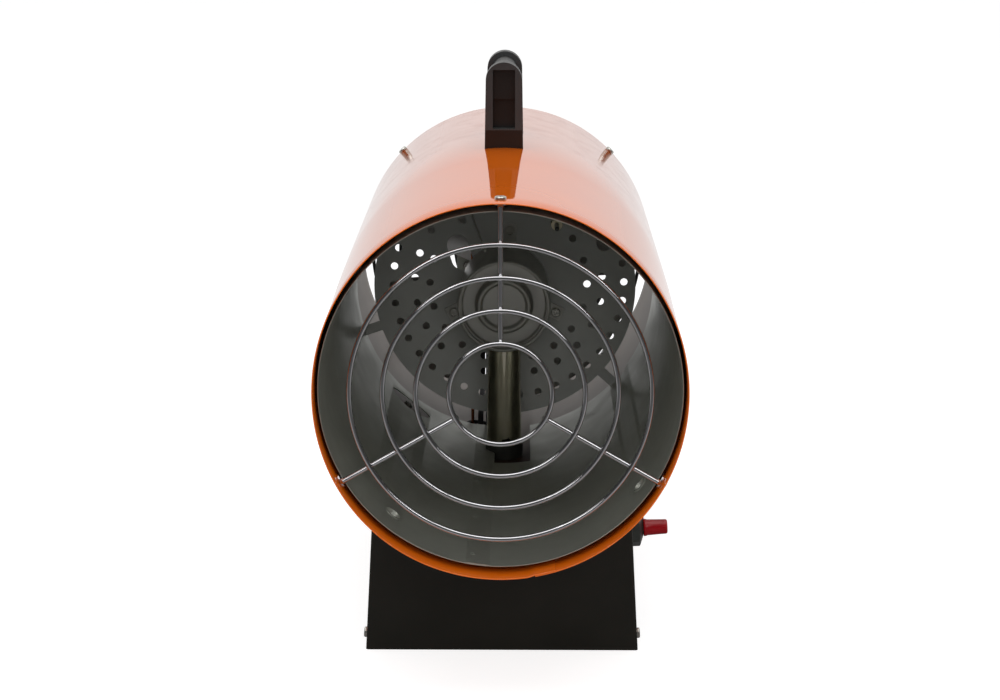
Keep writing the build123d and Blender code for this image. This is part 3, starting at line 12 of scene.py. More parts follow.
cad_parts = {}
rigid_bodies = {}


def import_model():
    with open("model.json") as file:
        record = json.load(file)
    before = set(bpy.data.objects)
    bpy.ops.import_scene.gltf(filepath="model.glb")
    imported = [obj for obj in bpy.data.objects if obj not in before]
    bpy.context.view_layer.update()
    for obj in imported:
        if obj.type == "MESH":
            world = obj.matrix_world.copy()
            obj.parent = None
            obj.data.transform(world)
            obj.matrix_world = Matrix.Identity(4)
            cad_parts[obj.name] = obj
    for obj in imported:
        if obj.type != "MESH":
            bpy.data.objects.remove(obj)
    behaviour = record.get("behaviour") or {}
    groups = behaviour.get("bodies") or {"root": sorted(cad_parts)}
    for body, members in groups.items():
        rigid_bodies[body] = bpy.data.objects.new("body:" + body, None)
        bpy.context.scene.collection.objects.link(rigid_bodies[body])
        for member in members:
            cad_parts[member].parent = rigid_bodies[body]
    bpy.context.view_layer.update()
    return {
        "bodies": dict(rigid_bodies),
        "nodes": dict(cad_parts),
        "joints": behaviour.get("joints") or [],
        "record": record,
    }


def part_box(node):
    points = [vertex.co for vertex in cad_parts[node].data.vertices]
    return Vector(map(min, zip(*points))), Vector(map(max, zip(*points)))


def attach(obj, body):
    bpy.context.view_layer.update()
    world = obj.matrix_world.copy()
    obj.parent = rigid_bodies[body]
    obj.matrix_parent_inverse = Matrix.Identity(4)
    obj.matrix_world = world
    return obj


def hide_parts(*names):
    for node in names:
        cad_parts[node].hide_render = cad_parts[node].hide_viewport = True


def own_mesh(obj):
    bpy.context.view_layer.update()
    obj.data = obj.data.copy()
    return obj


logger = logging.getLogger("propane_heater")

Colour = tuple[float, float, float]
Outline = Sequence[tuple[float, float]]
Sockets = bpy.types.bpy_prop_collection

MM = 0.001                      # metres
WHITE = (1.0, 1.0, 1.0, 1.0)
BLACK = (0.0, 0.0, 0.0, 1.0)
DUST_COLOUR = (0.42, 0.38, 0.32, 1.0)
STRAW = (0.42, 0.30, 0.14, 1.0)
TEMPER_BLUE = (0.10, 0.13, 0.22, 1.0)
NOISE_SPAN = (0.3, 0.7)         # where nearly all of a noise lies
SHEET_SMOOTH = 50.0             # the sharpest smooth edge of spun and rolled sheet, in degrees
WIRE_SMOOTH = 60.0
PACKED_SMOOTH = 35.0
SHARP_EDGE = math.radians(40)   # packed edges sharper than this get rounded
SPUN_TO_SEAT = Matrix(((1, 0, 0, 0), (0, 0, 1, 0), (0, 1, 0, 0), (0, 0, 0, 1)))
ROUNDED_END = (0.98, 0.98, 0.6)     # a wire's free end, in half thicknesses
PRESSED_NECK = (1.3, 1.35, 1.6)     # where a wire is pressed flat beside its eye
CROSS_WELD = (1.0, 1.2, 0.9)        # between a ring and a spoke


# ---------------------------------------------------------------- where things are


@dataclass(frozen=True)
class Barrel:
    """The barrel's own space: millimetres across, behind the front edge and above the axis.

    Attributes:
        front: The front edge's place along Y, in metres.
        axis: The axis' height above the floor, in metres.
    """

    front: float
    axis: float

    @classmethod
    def from_frame(cls) -> "Barrel":
        """Reads the barrel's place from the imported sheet."""
        low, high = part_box("outer_shell")
        return cls(front=low.y, axis=(low.z + high.z) / 2)

    @property
    def to_metres(self) -> Matrix:
        """The matrix from barrel millimetres to the frame's metres."""
        return Matrix.Translation((0, self.front, self.axis)) @ Matrix.Scale(MM, 4)

    def radial(self, depth: float, angle: float, radius: float) -> Matrix:
        """Places a shape on a seat that faces out from the axis.

        Args:
            depth: Millimetres behind the front edge.
            angle: Degrees round the axis, from +X towards +Z.
            radius: Millimetres from the axis.

        Returns:
            A matrix whose X runs along the barrel and whose Z points outwards.
        """
        turn = math.radians(angle)
        out = Vector((math.cos(turn), 0, math.sin(turn)))
        side = out.cross(Vector((0, 1, 0)))
        spot = Vector((0, depth, 0)) + out * radius
        return frame_matrix(Vector((0, 1, 0)), side, out, spot)


def frame_matrix(x: Vector, y: Vector, z: Vector, spot: Vector) -> Matrix:
    """Builds a matrix from three axes and the place of the origin."""
    rows = [[x[row], y[row], z[row], spot[row]] for row in range(3)]
    return Matrix((*rows, (0, 0, 0, 1)))


# ---------------------------------------------------------------- shader building


class Graph:
    """Adds and joins the nodes of one shader tree."""

    def __init__(self, tree: bpy.types.NodeTree) -> None:
        """Takes the tree to build in."""
        self.tree = tree

    def add(self, kind: str, **settings: object) -> bpy.types.Node:
        """Adds a node.

        Args:
            kind: The node's type name.
            **settings: Properties to set on it.

        Returns:
            The new node.
        """
        node = self.tree.nodes.new(kind)
        for name, value in settings.items():
            setattr(node, name, value)
        return node

    def feed(self, node: bpy.types.Node, feeds: dict) -> None:
        """Feeds a node's inputs from sockets or with constants.

        Args:
            node: The node.
            feeds: What feeds each input, by name or number.
        """
        for key, value in feeds.items():
            if isinstance(value, bpy.types.NodeSocket):
                self.tree.links.new(value, node.inputs[key])
            else:
                node.inputs[key].default_value = value

    def fed(self, kind: str, outlet: object, feeds: dict, **settings: object) -> bpy.types.NodeSocket:
        """Adds a node and feeds its inputs.

        Args:
            kind: The node's type name.
            outlet: The name or number of the wanted output.
            feeds: What feeds each input, by name or number.
            **settings: Properties to set on it.

        Returns:
            The wanted output.
        """
        node = self.add(kind, **settings)
        self.feed(node, feeds)
        return node.outputs[outlet]

    def maths(self, operation: str, first: object, second: object) -> bpy.types.NodeSocket:
        """Works out one number from two, each a socket or a constant."""
        return self.fed("ShaderNodeMath", 0, {0: first, 1: second}, operation=operation)

    def product(self, first: object, second: object) -> bpy.types.NodeSocket:
        """Multiplies two numbers."""
        return self.maths("MULTIPLY", first, second)

    def blend(self, share: object, first: object, second: object) -> bpy.types.NodeSocket:
        """Mixes two colours, where a share of 1 shows the second one alone."""
        return self.fed("ShaderNodeMix", 2, {0: share, 6: first, 7: second}, data_type="RGBA")

    def between(self, value: object, limits: Sequence[object],
                results: Sequence[object] = (0.0, 1.0)) -> bpy.types.NodeSocket:
        """Maps a value from its lowest and highest to two results, and holds it at the ends."""
        names = ("Value", "From Min", "From Max", "To Min", "To Max")
        return self.fed("ShaderNodeMapRange", "Result", dict(zip(names, (value, *limits, *results))))

    def split(self, vector: object) -> Sockets:
        """Splits a vector into its X, Y and Z sockets.

        Args:
            vector: The vector's socket.

        Returns:
            The three sockets, by name.
        """
        node = self.add("ShaderNodeSeparateXYZ")
        self.feed(node, {0: vector})
        return node.outputs

    def place(self) -> bpy.types.NodeSocket:
        """The place on the object, in metres."""
        return self.add("ShaderNodeTexCoord").outputs["Object"]

    def noise(self, vector: object, scale: object, detail: float = 2.0) -> bpy.types.NodeSocket:
        """Adds a noise with a number of features per metre, near 0.5 on average."""
        feeds = {"Vector": vector, "Scale": scale, "Detail": detail}
        return self.fed("ShaderNodeTexNoise", "Fac", feeds)

    def stretched(self, vector: object, stretch: object) -> bpy.types.NodeSocket:
        """Multiplies a place by a factor along each axis."""
        return self.fed("ShaderNodeVectorMath", 0, {0: vector, 1: stretch}, operation="MULTIPLY")


class Effect:
    """A surface effect that several finishes share, kept as one shader node group."""

    title = ""
    inlets: dict[str, object] = {}
    outlet = ("Value", "NodeSocketFloat")

    def build(self, graph: Graph, inlet: bpy.types.Node) -> bpy.types.NodeSocket:
        """Lays out the group's nodes.

        Args:
            graph: The group's graph.
            inlet: The group's input node.

        Returns:
            What the group puts out.
        """
        raise NotImplementedError

    def tree(self) -> bpy.types.NodeTree:
        """Makes the group once.

        Returns:
            The group's tree.
        """
        made = bpy.data.node_groups.get(self.title)
        if made:
            return made
        made = bpy.data.node_groups.new(self.title, "ShaderNodeTree")
        for name, value in self.inlets.items():
            kind = "NodeSocketFloat" if isinstance(value, float) else "NodeSocketVector"
            if not isinstance(value, float) and len(value) == 4:
                kind = "NodeSocketColor"
            socket = made.interface.new_socket(name, in_out="INPUT", socket_type=kind)
            socket.default_value = value
        made.interface.new_socket(self.outlet[0], in_out="OUTPUT", socket_type=self.outlet[1])
        graph = Graph(made)
        inlet = graph.add("NodeGroupInput")
        outlet = graph.add("NodeGroupOutput")
        graph.feed(outlet, {0: self.build(graph, inlet)})
        return made

    def put(self, graph: Graph, **values: object) -> bpy.types.NodeSocket:
        """Places the group in a material.

        Args:
            graph: The material's graph.
            **values: What feeds its inputs, by name.

        Returns:
            The group's output.
        """
        node = graph.add("ShaderNodeGroup", node_tree=self.tree())
        graph.feed(node, values)
        return node.outputs[0]


class ColourDrift(Effect):
    """A slow wander from one colour towards another."""

    title = "colour_drift"
    inlets = {"First": (1.0, 1.0, 1.0, 1.0), "Second": (1.0, 1.0, 1.0, 1.0), "Scale": 20.0, "Amount": 1.0}
    outlet = ("Colour", "NodeSocketColor")

    def build(self, graph: Graph, inlet: bpy.types.Node) -> bpy.types.NodeSocket:
        """Mixes the two colours by a broad noise.

        Args:
            graph: The group's graph.
            inlet: The group's input node.

        Returns:
            What the group puts out.
        """
        noise = graph.noise(graph.place(), inlet.outputs["Scale"], 4.0)
        share = graph.between(noise, NOISE_SPAN, (0.0, inlet.outputs["Amount"]))
        return graph.blend(share, inlet.outputs["First"], inlet.outputs["Second"])


class Mottle(Effect):
    """A patchy value between two limits, for roughness."""

    title = "mottle"
    inlets = {"Low": 0.2, "High": 0.4, "Scale": 60.0}

    def build(self, graph: Graph, inlet: bpy.types.Node) -> bpy.types.NodeSocket:
        """Maps a noise between the two limits."""
        noise = graph.noise(graph.place(), inlet.outputs["Scale"], 5.0)
        return graph.between(noise, NOISE_SPAN, (inlet.outputs["Low"], inlet.outputs["High"]))


class FineGrain(Effect):
    """The small relief of paint, cast or moulded surfaces."""

    title = "fine_grain"
    inlets = {"Scale": 900.0, "Waviness": 0.5}
    outlet = ("Height", "NodeSocketFloat")

    def build(self, graph: Graph, inlet: bpy.types.Node) -> bpy.types.NodeSocket:
        """Adds a fine and a broader noise.

        Args:
            graph: The group's graph.
            inlet: The group's input node.

        Returns:
            What the group puts out.
        """
        place = graph.place()
        fine = graph.noise(place, inlet.outputs["Scale"], 1.0)
        broad = graph.noise(place, graph.product(inlet.outputs["Scale"], 0.12), 1.0)
        return graph.maths("ADD", fine, graph.product(broad, inlet.outputs["Waviness"]))


class DrawnLines(Effect):
    """Fine lines that drawing, rolling or turning leaves in metal."""

    title = "drawn_lines"
    inlets = {"Stretch": (900.0, 6.0, 900.0)}
    outlet = ("Height", "NodeSocketFloat")

    def build(self, graph: Graph, inlet: bpy.types.Node) -> bpy.types.NodeSocket:
        """Reads a noise on a stretched place."""
        place = graph.stretched(graph.place(), inlet.outputs["Stretch"])
        return graph.noise(place, 1.0, 3.0)


class Spangle(Effect):
    """The crystal patches of hot-dip zinc."""

    title = "spangle"
    inlets = {"Scale": 90.0}

    def build(self, graph: Graph, inlet: bpy.types.Node) -> bpy.types.NodeSocket:
        """Gives each cell of a mosaic its own value.

        Args:
            graph: The group's graph.
            inlet: The group's input node.

        Returns:
            What the group puts out.
        """
        feeds = {"Vector": graph.place(), "Scale": inlet.outputs["Scale"]}
        cells = graph.fed("ShaderNodeTexVoronoi", "Color", feeds)
        return graph.fed("ShaderNodeSeparateColor", 0, {0: cells})


class Dust(Effect):
    """Dust that settles on faces that look up."""

    title = "settled_dust"
    inlets = {"Amount": 0.2}
    outlet = ("Mask", "NodeSocketFloat")

    def build(self, graph: Graph, inlet: bpy.types.Node) -> bpy.types.NodeSocket:
        """Masks the upward normal with a noise.

        Args:
            graph: The group's graph.
            inlet: The group's input node.

        Returns:
            What the group puts out.
        """
        normal = graph.split(graph.add("ShaderNodeTexCoord").outputs["Normal"])
        upward = graph.between(normal["Z"], (0.3, 1.0))
        patches = graph.between(graph.noise(graph.place(), 220.0, 6.0), (0.35, 0.8))
        return graph.product(graph.product(upward, patches), inlet.outputs["Amount"])


class Scuffs(Effect):
    """Thin scratches that handling leaves."""

    title = "handling_scuffs"
    inlets = {"Amount": 0.3}
    outlet = ("Mask", "NodeSocketFloat")

    def build(self, graph: Graph, inlet: bpy.types.Node) -> bpy.types.NodeSocket:
        """Keeps the crests of two long crossed noises.

        Args:
            graph: The group's graph.
            inlet: The group's input node.

        Returns:
            What the group puts out.
        """
        place = graph.place()
        first = graph.noise(graph.stretched(place, (40.0, 420.0, 160.0)), 1.0, 2.0)
        second = graph.noise(graph.stretched(place, (300.0, 50.0, 420.0)), 1.0, 2.0)
        crest = graph.maths("MAXIMUM", first, second)
        return graph.between(crest, (0.74, 0.80), (0.0, inlet.outputs["Amount"]))


# ---------------------------------------------------------------- finishes


class Relief(Enum):
    """The kind of fine relief on a surface."""

    GRAIN = "grain"
    LENGTHWISE = "lengthwise"
    UPRIGHT = "upright"
    ACROSS = "across"


STRETCHES: dict[Relief, Colour] = {
    Relief.LENGTHWISE: (900.0, 7.0, 900.0),
    Relief.UPRIGHT: (900.0, 900.0, 8.0),
    Relief.ACROSS: (8.0, 900.0, 900.0),
}


@dataclass(frozen=True)
class Finish:
    """One surface finish.

    Attributes:
        name: The material's name.
        slot: The record's material slot, which is not used.
        colour: The main colour, linear.
        second: The colour that it wanders to.
        roughness: Its lowest and highest roughness.
        metallic: 1 for bare metal.
        relief: The kind of fine relief.
        grain: The relief's scale per metre, where it is grain.
        bump: The relief's height in millimetres.
        dust: How much dust lies on faces that look up.
        scuffs: How strongly scratches show.
        drift_scale: Colour patches per metre.
        specular: The shader's specular level.
    """

    name: str
    slot: str
    colour: Colour
    second: Colour
    roughness: tuple[float, float]
    metallic: float = 0.0
    relief: Relief = Relief.GRAIN
    grain: float = 900.0
    bump: float = 0.02
    dust: float = 0.0
    scuffs: float = 0.0
    drift_scale: float = 25.0
    specular: float = 0.5

    def base(self, graph: Graph) -> bpy.types.NodeSocket:
        """Lays out the colour.

        Args:
            graph: The material's graph.

        Returns:
            The colour's socket.
        """
        colour = ColourDrift().put(
            graph, First=(*self.colour, 1.0), Second=(*self.second, 1.0), Scale=self.drift_scale
        )
        if self.scuffs:
            lighter = tuple(min(1.0, value * 1.6 + 0.03) for value in self.colour)
            colour = graph.blend(Scuffs().put(graph, Amount=self.scuffs), colour, (*lighter, 1.0))
        if self.dust:
            colour = graph.blend(Dust().put(graph, Amount=self.dust), colour, DUST_COLOUR)
        return colour

    def height(self, graph: Graph) -> bpy.types.NodeSocket:
        """Lays out the relief.

        Args:
            graph: The material's graph.

        Returns:
            The height's socket.
        """
        if self.relief is Relief.GRAIN:
            return FineGrain().put(graph, Scale=self.grain)
        return DrawnLines().put(graph, Stretch=STRETCHES[self.relief])

    def gloss(self, graph: Graph) -> bpy.types.NodeSocket:
        """Lays out the roughness."""
        low, high = self.roughness
        return Mottle().put(graph, Low=low, High=high)

    def material(self) -> bpy.types.Material:
        """Makes the material once.

        Returns:
            The material.
        """
        made = bpy.data.materials.get(self.name)
        if made:
            return made
        made = bpy.data.materials.new(self.name)
        made.use_nodes = True
        graph = Graph(made.node_tree)
        relief = {"Distance": self.bump * MM, "Strength": 1.0, "Height": self.height(graph)}
        graph.feed(made.node_tree.nodes["Principled BSDF"], {
            "Metallic": self.metallic,
            "Specular IOR Level": self.specular,
            "Base Color": self.base(graph),
            "Roughness": self.gloss(graph),
            "Normal": graph.fed("ShaderNodeBump", 0, relief),
        })
        return made


@dataclass(frozen=True)
class ZincFinish(Finish):
    """Sheet steel with the spangle of its zinc bath.

    Attributes:
        crystals: How many crystals there are per metre.
        contrast: How far their colours differ.
    """

    crystals: float = 150.0
    contrast: float = 0.16

    def base(self, graph: Graph) -> bpy.types.NodeSocket:
        """Varies the metal's colour from crystal to crystal.

        Args:
            graph: The material's graph.

        Returns:
            The colour's socket.
        """
        plain = super().base(graph)
        share = graph.product(Spangle().put(graph, Scale=self.crystals), self.contrast)
        return graph.blend(share, plain, (*self.second, 1.0))


class InnerWall(Effect):
    """Finds the barrel's inner wall and how deep it lies behind the front edge."""

    title = "inner_wall"
    inlets = {"Axis": 0.2, "Front": 0.0, "Start": 0.01, "Stop": 0.04}
    outlet = ("Mask", "NodeSocketFloat")

    def build(self, graph: Graph, inlet: bpy.types.Node) -> bpy.types.NodeSocket:
        """Masks the faces that look towards the barrel's axis by their depth.

        Args:
            graph: The group's graph.
            inlet: The group's input node.

        Returns:
            What the group puts out.
        """
        place = graph.split(graph.place())
        facing = graph.split(graph.add("ShaderNodeNewGeometry").outputs["True Normal"])
        rise = graph.maths("SUBTRACT", place["Z"], inlet.outputs["Axis"])
        sideways = graph.product(place["X"], facing["X"])
        upwards = graph.product(rise, facing["Z"])
        inside = graph.maths("LESS_THAN", graph.maths("ADD", sideways, upwards), 0.0)
        depth = graph.maths("SUBTRACT", place["Y"], inlet.outputs["Front"])
        deep = graph.between(depth, (inlet.outputs["Start"], inlet.outputs["Stop"]))
        return graph.product(inside, deep)


@dataclass(frozen=True)
class EnamelFinish(Finish):
    """Glossy enamel outside, which thins to bare primer deep inside the barrel, with painted shade behind the
    inner lip.

    Attributes:
        shade: The painted shade's colour on the inner wall behind the lip, where the narrow gap to the drum
            lies in shadow, linear.
        primer: The primer's colour at the air side, linear.
        lip: Where the painted shade behind the lip starts and where it is full, which also dulls the enamel
            there, in metres.
        air_side: Where the primer starts to show and where it is full, in metres.
        dullness: How much rougher the thin coat is.
    """

    # painted shade: a near-black brown for the inner wall behind the lip
    shade: Colour = (0.030, 0.010, 0.004)
    primer: Colour = (0.34, 0.285, 0.245)
    lip: tuple[float, float] = (0.010, 0.036)
    air_side: tuple[float, float] = (0.300, 0.362)
    dullness: float = 0.5

    def inner(self, graph: Graph, span: tuple[float, float]) -> bpy.types.NodeSocket:
        """Masks the inner wall from where a span of depths starts to where it is full."""
        barrel = Barrel.from_frame()
        return InnerWall().put(graph, Axis=barrel.axis, Front=barrel.front, Start=span[0], Stop=span[1])

    def base(self, graph: Graph) -> bpy.types.NodeSocket:
        """Paints shade on the inner wall behind the barrel's inner lip, and primer deeper in.

        Args:
            graph: The material's graph.

        Returns:
            The colour's socket.
        """
        # painted shade: the enamel darkens behind the lip, where the gap to the drum lies in shadow
        shaded = graph.blend(self.inner(graph, self.lip), super().base(graph), (*self.shade, 1.0))
        uneven = graph.between(graph.noise(graph.place(), 30.0, 4.0), NOISE_SPAN, (0.85, 1.0))
        share = graph.product(self.inner(graph, self.air_side), uneven)
        return graph.blend(share, shaded, (*self.primer, 1.0))

    def gloss(self, graph: Graph) -> bpy.types.NodeSocket:
        """Makes the thin coat inside dull."""
        dull = graph.product(self.inner(graph, self.lip), self.dullness)
        return graph.maths("ADD", super().gloss(graph), dull)


@dataclass(frozen=True)
class HeatedFinish(Finish):
    """Steel that has taken straw and blue tints near the flame.

    Attributes:
        tint: The tint's strength.
        straw: Where in the noise the straw tint starts and where it is full.
        blue: Where the blue tint does.
    """

    tint: float = 0.35
    straw: tuple[float, float] = (0.42, 0.62)
    blue: tuple[float, float] = (0.60, 0.74)

    def base(self, graph: Graph) -> bpy.types.NodeSocket:
        """Lays patches of tint over the metal's colour.

        Args:
            graph: The material's graph.

        Returns:
            The colour's socket.
        """
        plain = super().base(graph)
        noise = graph.noise(graph.place(), 45.0, 3.0)
        straw = graph.between(noise, self.straw, (0.0, self.tint))
        blue = graph.between(noise, self.blue, (0.0, self.tint * 0.8))
        warm = graph.blend(straw, plain, STRAW)
        return graph.blend(blue, warm, TEMPER_BLUE)


ORANGE = EnamelFinish("orange_enamel", "orange_paint", (0.78, 0.148, 0.002), (0.72, 0.128, 0.002),
                      (0.03, 0.07), grain=420.0, bump=0.003, dust=0.02, drift_scale=9.0, specular=0.80)
BLACK_PAINT = Finish("black_powder_coat", "black_paint", (0.0130, 0.0124, 0.0098), (0.0165, 0.0155, 0.0125),
                     (0.34, 0.48), grain=1500.0, bump=0.02, dust=0.03, scuffs=0.06, specular=0.18)
ZINC = ZincFinish("galvanised_sheet", "galvanised_steel", (0.46, 0.475, 0.42), (0.38, 0.39, 0.345),
                  (0.36, 0.46), 0.72, bump=0.003, grain=260.0, drift_scale=11.0)
CHROME = Finish("chromed_wire", "chrome_wire", (0.62, 0.62, 0.64), (0.54, 0.53, 0.54),
                (0.02, 0.06), 1.0, grain=500.0, bump=0.001, drift_scale=60.0)
BLACK_WIRE = Finish("black_coated_wire", "black_wire", (0.014, 0.014, 0.013), (0.022, 0.021, 0.020),
                    (0.28, 0.42), grain=1200.0, bump=0.02, dust=0.10)
SCREW_ZINC = Finish("zinc_plated_screw", "zinc_screw", (0.62, 0.61, 0.57), (0.46, 0.45, 0.41),
                    (0.22, 0.36), 1.0, grain=1800.0, bump=0.008, drift_scale=240.0)
DARK_STEEL = HeatedFinish("dark_steel", "dark_steel", (0.115, 0.118, 0.108), (0.092, 0.094, 0.086),
                          (0.36, 0.50), 0.6, grain=700.0, bump=0.012, tint=0.04)
PLATE = HeatedFinish("aluminised_plate", "dark_steel", (0.36, 0.365, 0.345), (0.32, 0.325, 0.305),
                     (0.48, 0.60), 0.15, grain=900.0, bump=0.010, tint=0.03, drift_scale=16.0)
STAINLESS = HeatedFinish("stainless_steel", "stainless_steel", (0.44, 0.41, 0.335), (0.36, 0.335, 0.27),
                         (0.09, 0.16), 1.0, grain=800.0, bump=0.001, tint=0.08)
DRAWN_TUBE = HeatedFinish("drawn_tube", "stainless_steel", (0.60, 0.56, 0.45), (0.50, 0.465, 0.37),
                          (0.06, 0.11), 1.0, Relief.UPRIGHT, bump=0.001, tint=0.10)
GROUND = Finish("ground_steel", "ground_steel", (0.56, 0.56, 0.55), (0.44, 0.44, 0.43),
                (0.16, 0.28), 1.0, Relief.LENGTHWISE, bump=0.003, drift_scale=120.0)
BRASS = Finish("brass", "brass_metal", (0.62, 0.42, 0.15), (0.48, 0.31, 0.10),
               (0.22, 0.36), 1.0, grain=900.0, bump=0.008, drift_scale=60.0)
COPPER = Finish("copper", "copper_metal", (0.66, 0.27, 0.13), (0.46, 0.18, 0.09),
                (0.22, 0.38), 1.0, grain=700.0, bump=0.01, drift_scale=70.0)
CERAMIC = Finish("glazed_ceramic", "glazed_ceramic", (0.60, 0.52, 0.36), (0.50, 0.41, 0.26),
                 (0.12, 0.24), grain=500.0, bump=0.01, drift_scale=80.0)
ALUMINIUM = Finish("fan_aluminium", "fan_aluminium", (0.46, 0.455, 0.43), (0.38, 0.375, 0.35),
                   (0.26, 0.40), 1.0, Relief.ACROSS, bump=0.004)
FITTING = Finish("dark_plated_brass", "dark_fitting", (0.080, 0.086, 0.078), (0.055, 0.060, 0.054),
                 (0.30, 0.44), 0.6, grain=1400.0, bump=0.01, drift_scale=90.0)
RED = Finish("red_cap_plastic", "red_plastic", (0.36, 0.0010, 0.0060), (0.30, 0.0008, 0.0045),
             (0.16, 0.28), grain=700.0, bump=0.01, drift_scale=90.0, specular=0.30)
BLACK_PLASTIC = Finish("black_moulded_plastic", "black_plastic", (0.026, 0.0268, 0.0275),
                       (0.034, 0.0348, 0.0355), (0.40, 0.54), grain=1900.0, bump=0.05, dust=0.12, scuffs=0.08)
# a darker, glossier black, used only on the floors of the handle posts' recesses
SMOOTH_PLASTIC = Finish("black_smooth_plastic", "black_plastic", (0.0085, 0.0083, 0.0082),
                        (0.012, 0.0118, 0.0115), (0.28, 0.40), grain=900.0, bump=0.01, specular=0.35)
WHITE_PLASTIC = Finish("white_moulded_plastic", "white_plastic", (0.66, 0.66, 0.63), (0.60, 0.60, 0.56),
                       (0.34, 0.48), grain=1400.0, bump=0.02)
RUBBER = Finish("black_rubber", "black_rubber", (0.016, 0.016, 0.016), (0.024, 0.024, 0.023),
                (0.50, 0.66), grain=1600.0, bump=0.03)


# ---------------------------------------------------------------- mesh building


def spun(outline: Outline, steps: int = 144, closed: bool = True) -> bmesh.types.BMesh:
    """Turns an outline about the barrel's axis.

    Args:
        outline: Pairs of depth and radius.
        steps: Faces round the axis.
        closed: Whether the outline's last point joins its first.

    Returns:
        The turned mesh, closed and facing out.
    """
    mesh = bmesh.new()
    corners = [mesh.verts.new((0, depth, radius)) for depth, radius in outline]
    pairs = list(zip(corners, corners[1:]))
    if closed:
        pairs.append((corners[-1], corners[0]))
    edges = [mesh.edges.new(pair) for pair in pairs]
    bmesh.ops.spin(mesh, geom=corners + edges, cent=(0, 0, 0), axis=(0, 1, 0),
                   angle=math.tau, steps=steps, use_merge=True)
    bmesh.ops.remove_doubles(mesh, verts=mesh.verts, dist=0.001)
    bmesh.ops.recalc_face_normals(mesh, faces=mesh.faces)
    return mesh


def arc(centre: tuple[float, float], radius: float, start: float, stop: float,
        count: int) -> list[tuple[float, float]]:
    """A number of points along an arc of an outline, from one angle to another in degrees."""
    angles = [math.radians(start + (stop - start) * step / (count - 1)) for step in range(count)]
    return [(centre[0] + radius * math.cos(a), centre[1] + radius * math.sin(a)) for a in angles]


def laid_section(mesh: bmesh.types.BMesh, outline: Outline, angle: float) -> list:
    """Lays a filled section on the half-plane at an angle round the axis.

    Args:
        mesh: The mesh that takes it.
        outline: Pairs of depth and radius.
        angle: Degrees from +X towards +Z.

    Returns:
        The section's points and edges.
    """
    corners = [mesh.verts.new((0, depth, radius)) for depth, radius in outline]
    edges = [mesh.edges.new(pair) for pair in zip(corners, corners[1:] + corners[:1])]
    turn = Matrix.Rotation(math.radians(90 - angle), 3, "Y")
    bmesh.ops.rotate(mesh, cent=(0, 0, 0), matrix=turn, verts=corners)
    bmesh.ops.contextual_create(mesh, geom=edges)
    return corners + edges


def swept(mesh: bmesh.types.BMesh, section: list, angle: float, steps: int) -> tuple[list, list]:
    """Sweeps a section round the axis.

    Args:
        mesh: The mesh that holds it.
        section: Its points and edges.
        angle: How far it goes round, in degrees.
        steps: Faces along the sweep.

    Returns:
        The points and the edges where it ends.
    """
    turned = bmesh.ops.spin(mesh, geom=section, cent=(0, 0, 0), axis=(0, 1, 0),
                            angle=-math.radians(angle), steps=steps, use_merge=False)["geom_last"]
    points = [item for item in turned if isinstance(item, bmesh.types.BMVert)]
    edges = [item for item in turned if isinstance(item, bmesh.types.BMEdge)]
    return points, edges


def moved(mesh: bmesh.types.BMesh, matrix: Matrix) -> bmesh.types.BMesh:
    """Moves a mesh, and returns it."""
    bmesh.ops.transform(mesh, matrix=matrix, verts=mesh.verts)
    return mesh


def seated(mesh: bmesh.types.BMesh, seat: Matrix) -> bmesh.types.BMesh:
    """Moves a turned mesh to its seat with its faces out, and returns it."""
    bmesh.ops.recalc_face_normals(moved(mesh, seat), faces=mesh.faces)
    return mesh


def baked(name: str, mesh: bmesh.types.BMesh) -> bpy.types.Mesh:
    """Turns a mesh into mesh data.

    Args:
        name: The data's name.
        mesh: The mesh, which is freed.

    Returns:
        The data.
    """
    data = bpy.data.meshes.new(name)
    mesh.to_mesh(data)
    mesh.free()
    return data


def placed(name: str, data: bpy.types.ID) -> bpy.types.Object:
    """Puts data into the scene.

    Args:
        name: The object's name.
        data: A mesh, a lamp or a camera.

    Returns:
        The object.
    """
    obj = bpy.data.objects.new(name, data)
    bpy.context.scene.collection.objects.link(obj)
    return obj


def scaled(size: float, factors: Sequence[float]) -> tuple[float, ...]:
    """Multiplies a size by each factor."""
    return tuple(size * factor for factor in factors)


def wire_ring(depth: float, radius: float, thickness: float) -> bmesh.types.BMesh:
    """One closed ring of wire, whose radius runs to the wire's middle."""
    section = arc((depth, radius), thickness / 2, 0, 360 - 360 / 16, 16)
    return spun(section, steps=max(72, int(radius * 1.6)))


def rod(seat: Matrix, radius: float, length: float, sides: int = 20) -> bmesh.types.BMesh:
    """A round rod that stands on a seat.

    Args:
        seat: The seat, with Z along the rod.
        radius: The rod's radius at the seat.
        length: The rod's length.
        sides: Faces round the rod.

    Returns:
        The rod's mesh.
    """
    mesh = bmesh.new()
    middle = seat @ Matrix.Translation((0, 0, length / 2))
    bmesh.ops.create_cone(mesh, cap_ends=True, segments=sides, radius1=radius, radius2=radius,
                          depth=length, matrix=middle)
    return mesh


def bead(seat: Matrix, size: Sequence[float]) -> bmesh.types.BMesh:
    """A rounded lump, such as a drop of weld.

    Args:
        seat: Where it lies.
        size: Its three half sizes.

    Returns:
        The lump's mesh.
    """
    mesh = bmesh.new()
    shape = seat @ Matrix.Diagonal((*size, 1.0))
    bmesh.ops.create_icosphere(mesh, subdivisions=2, radius=1.0, matrix=shape)
    return mesh


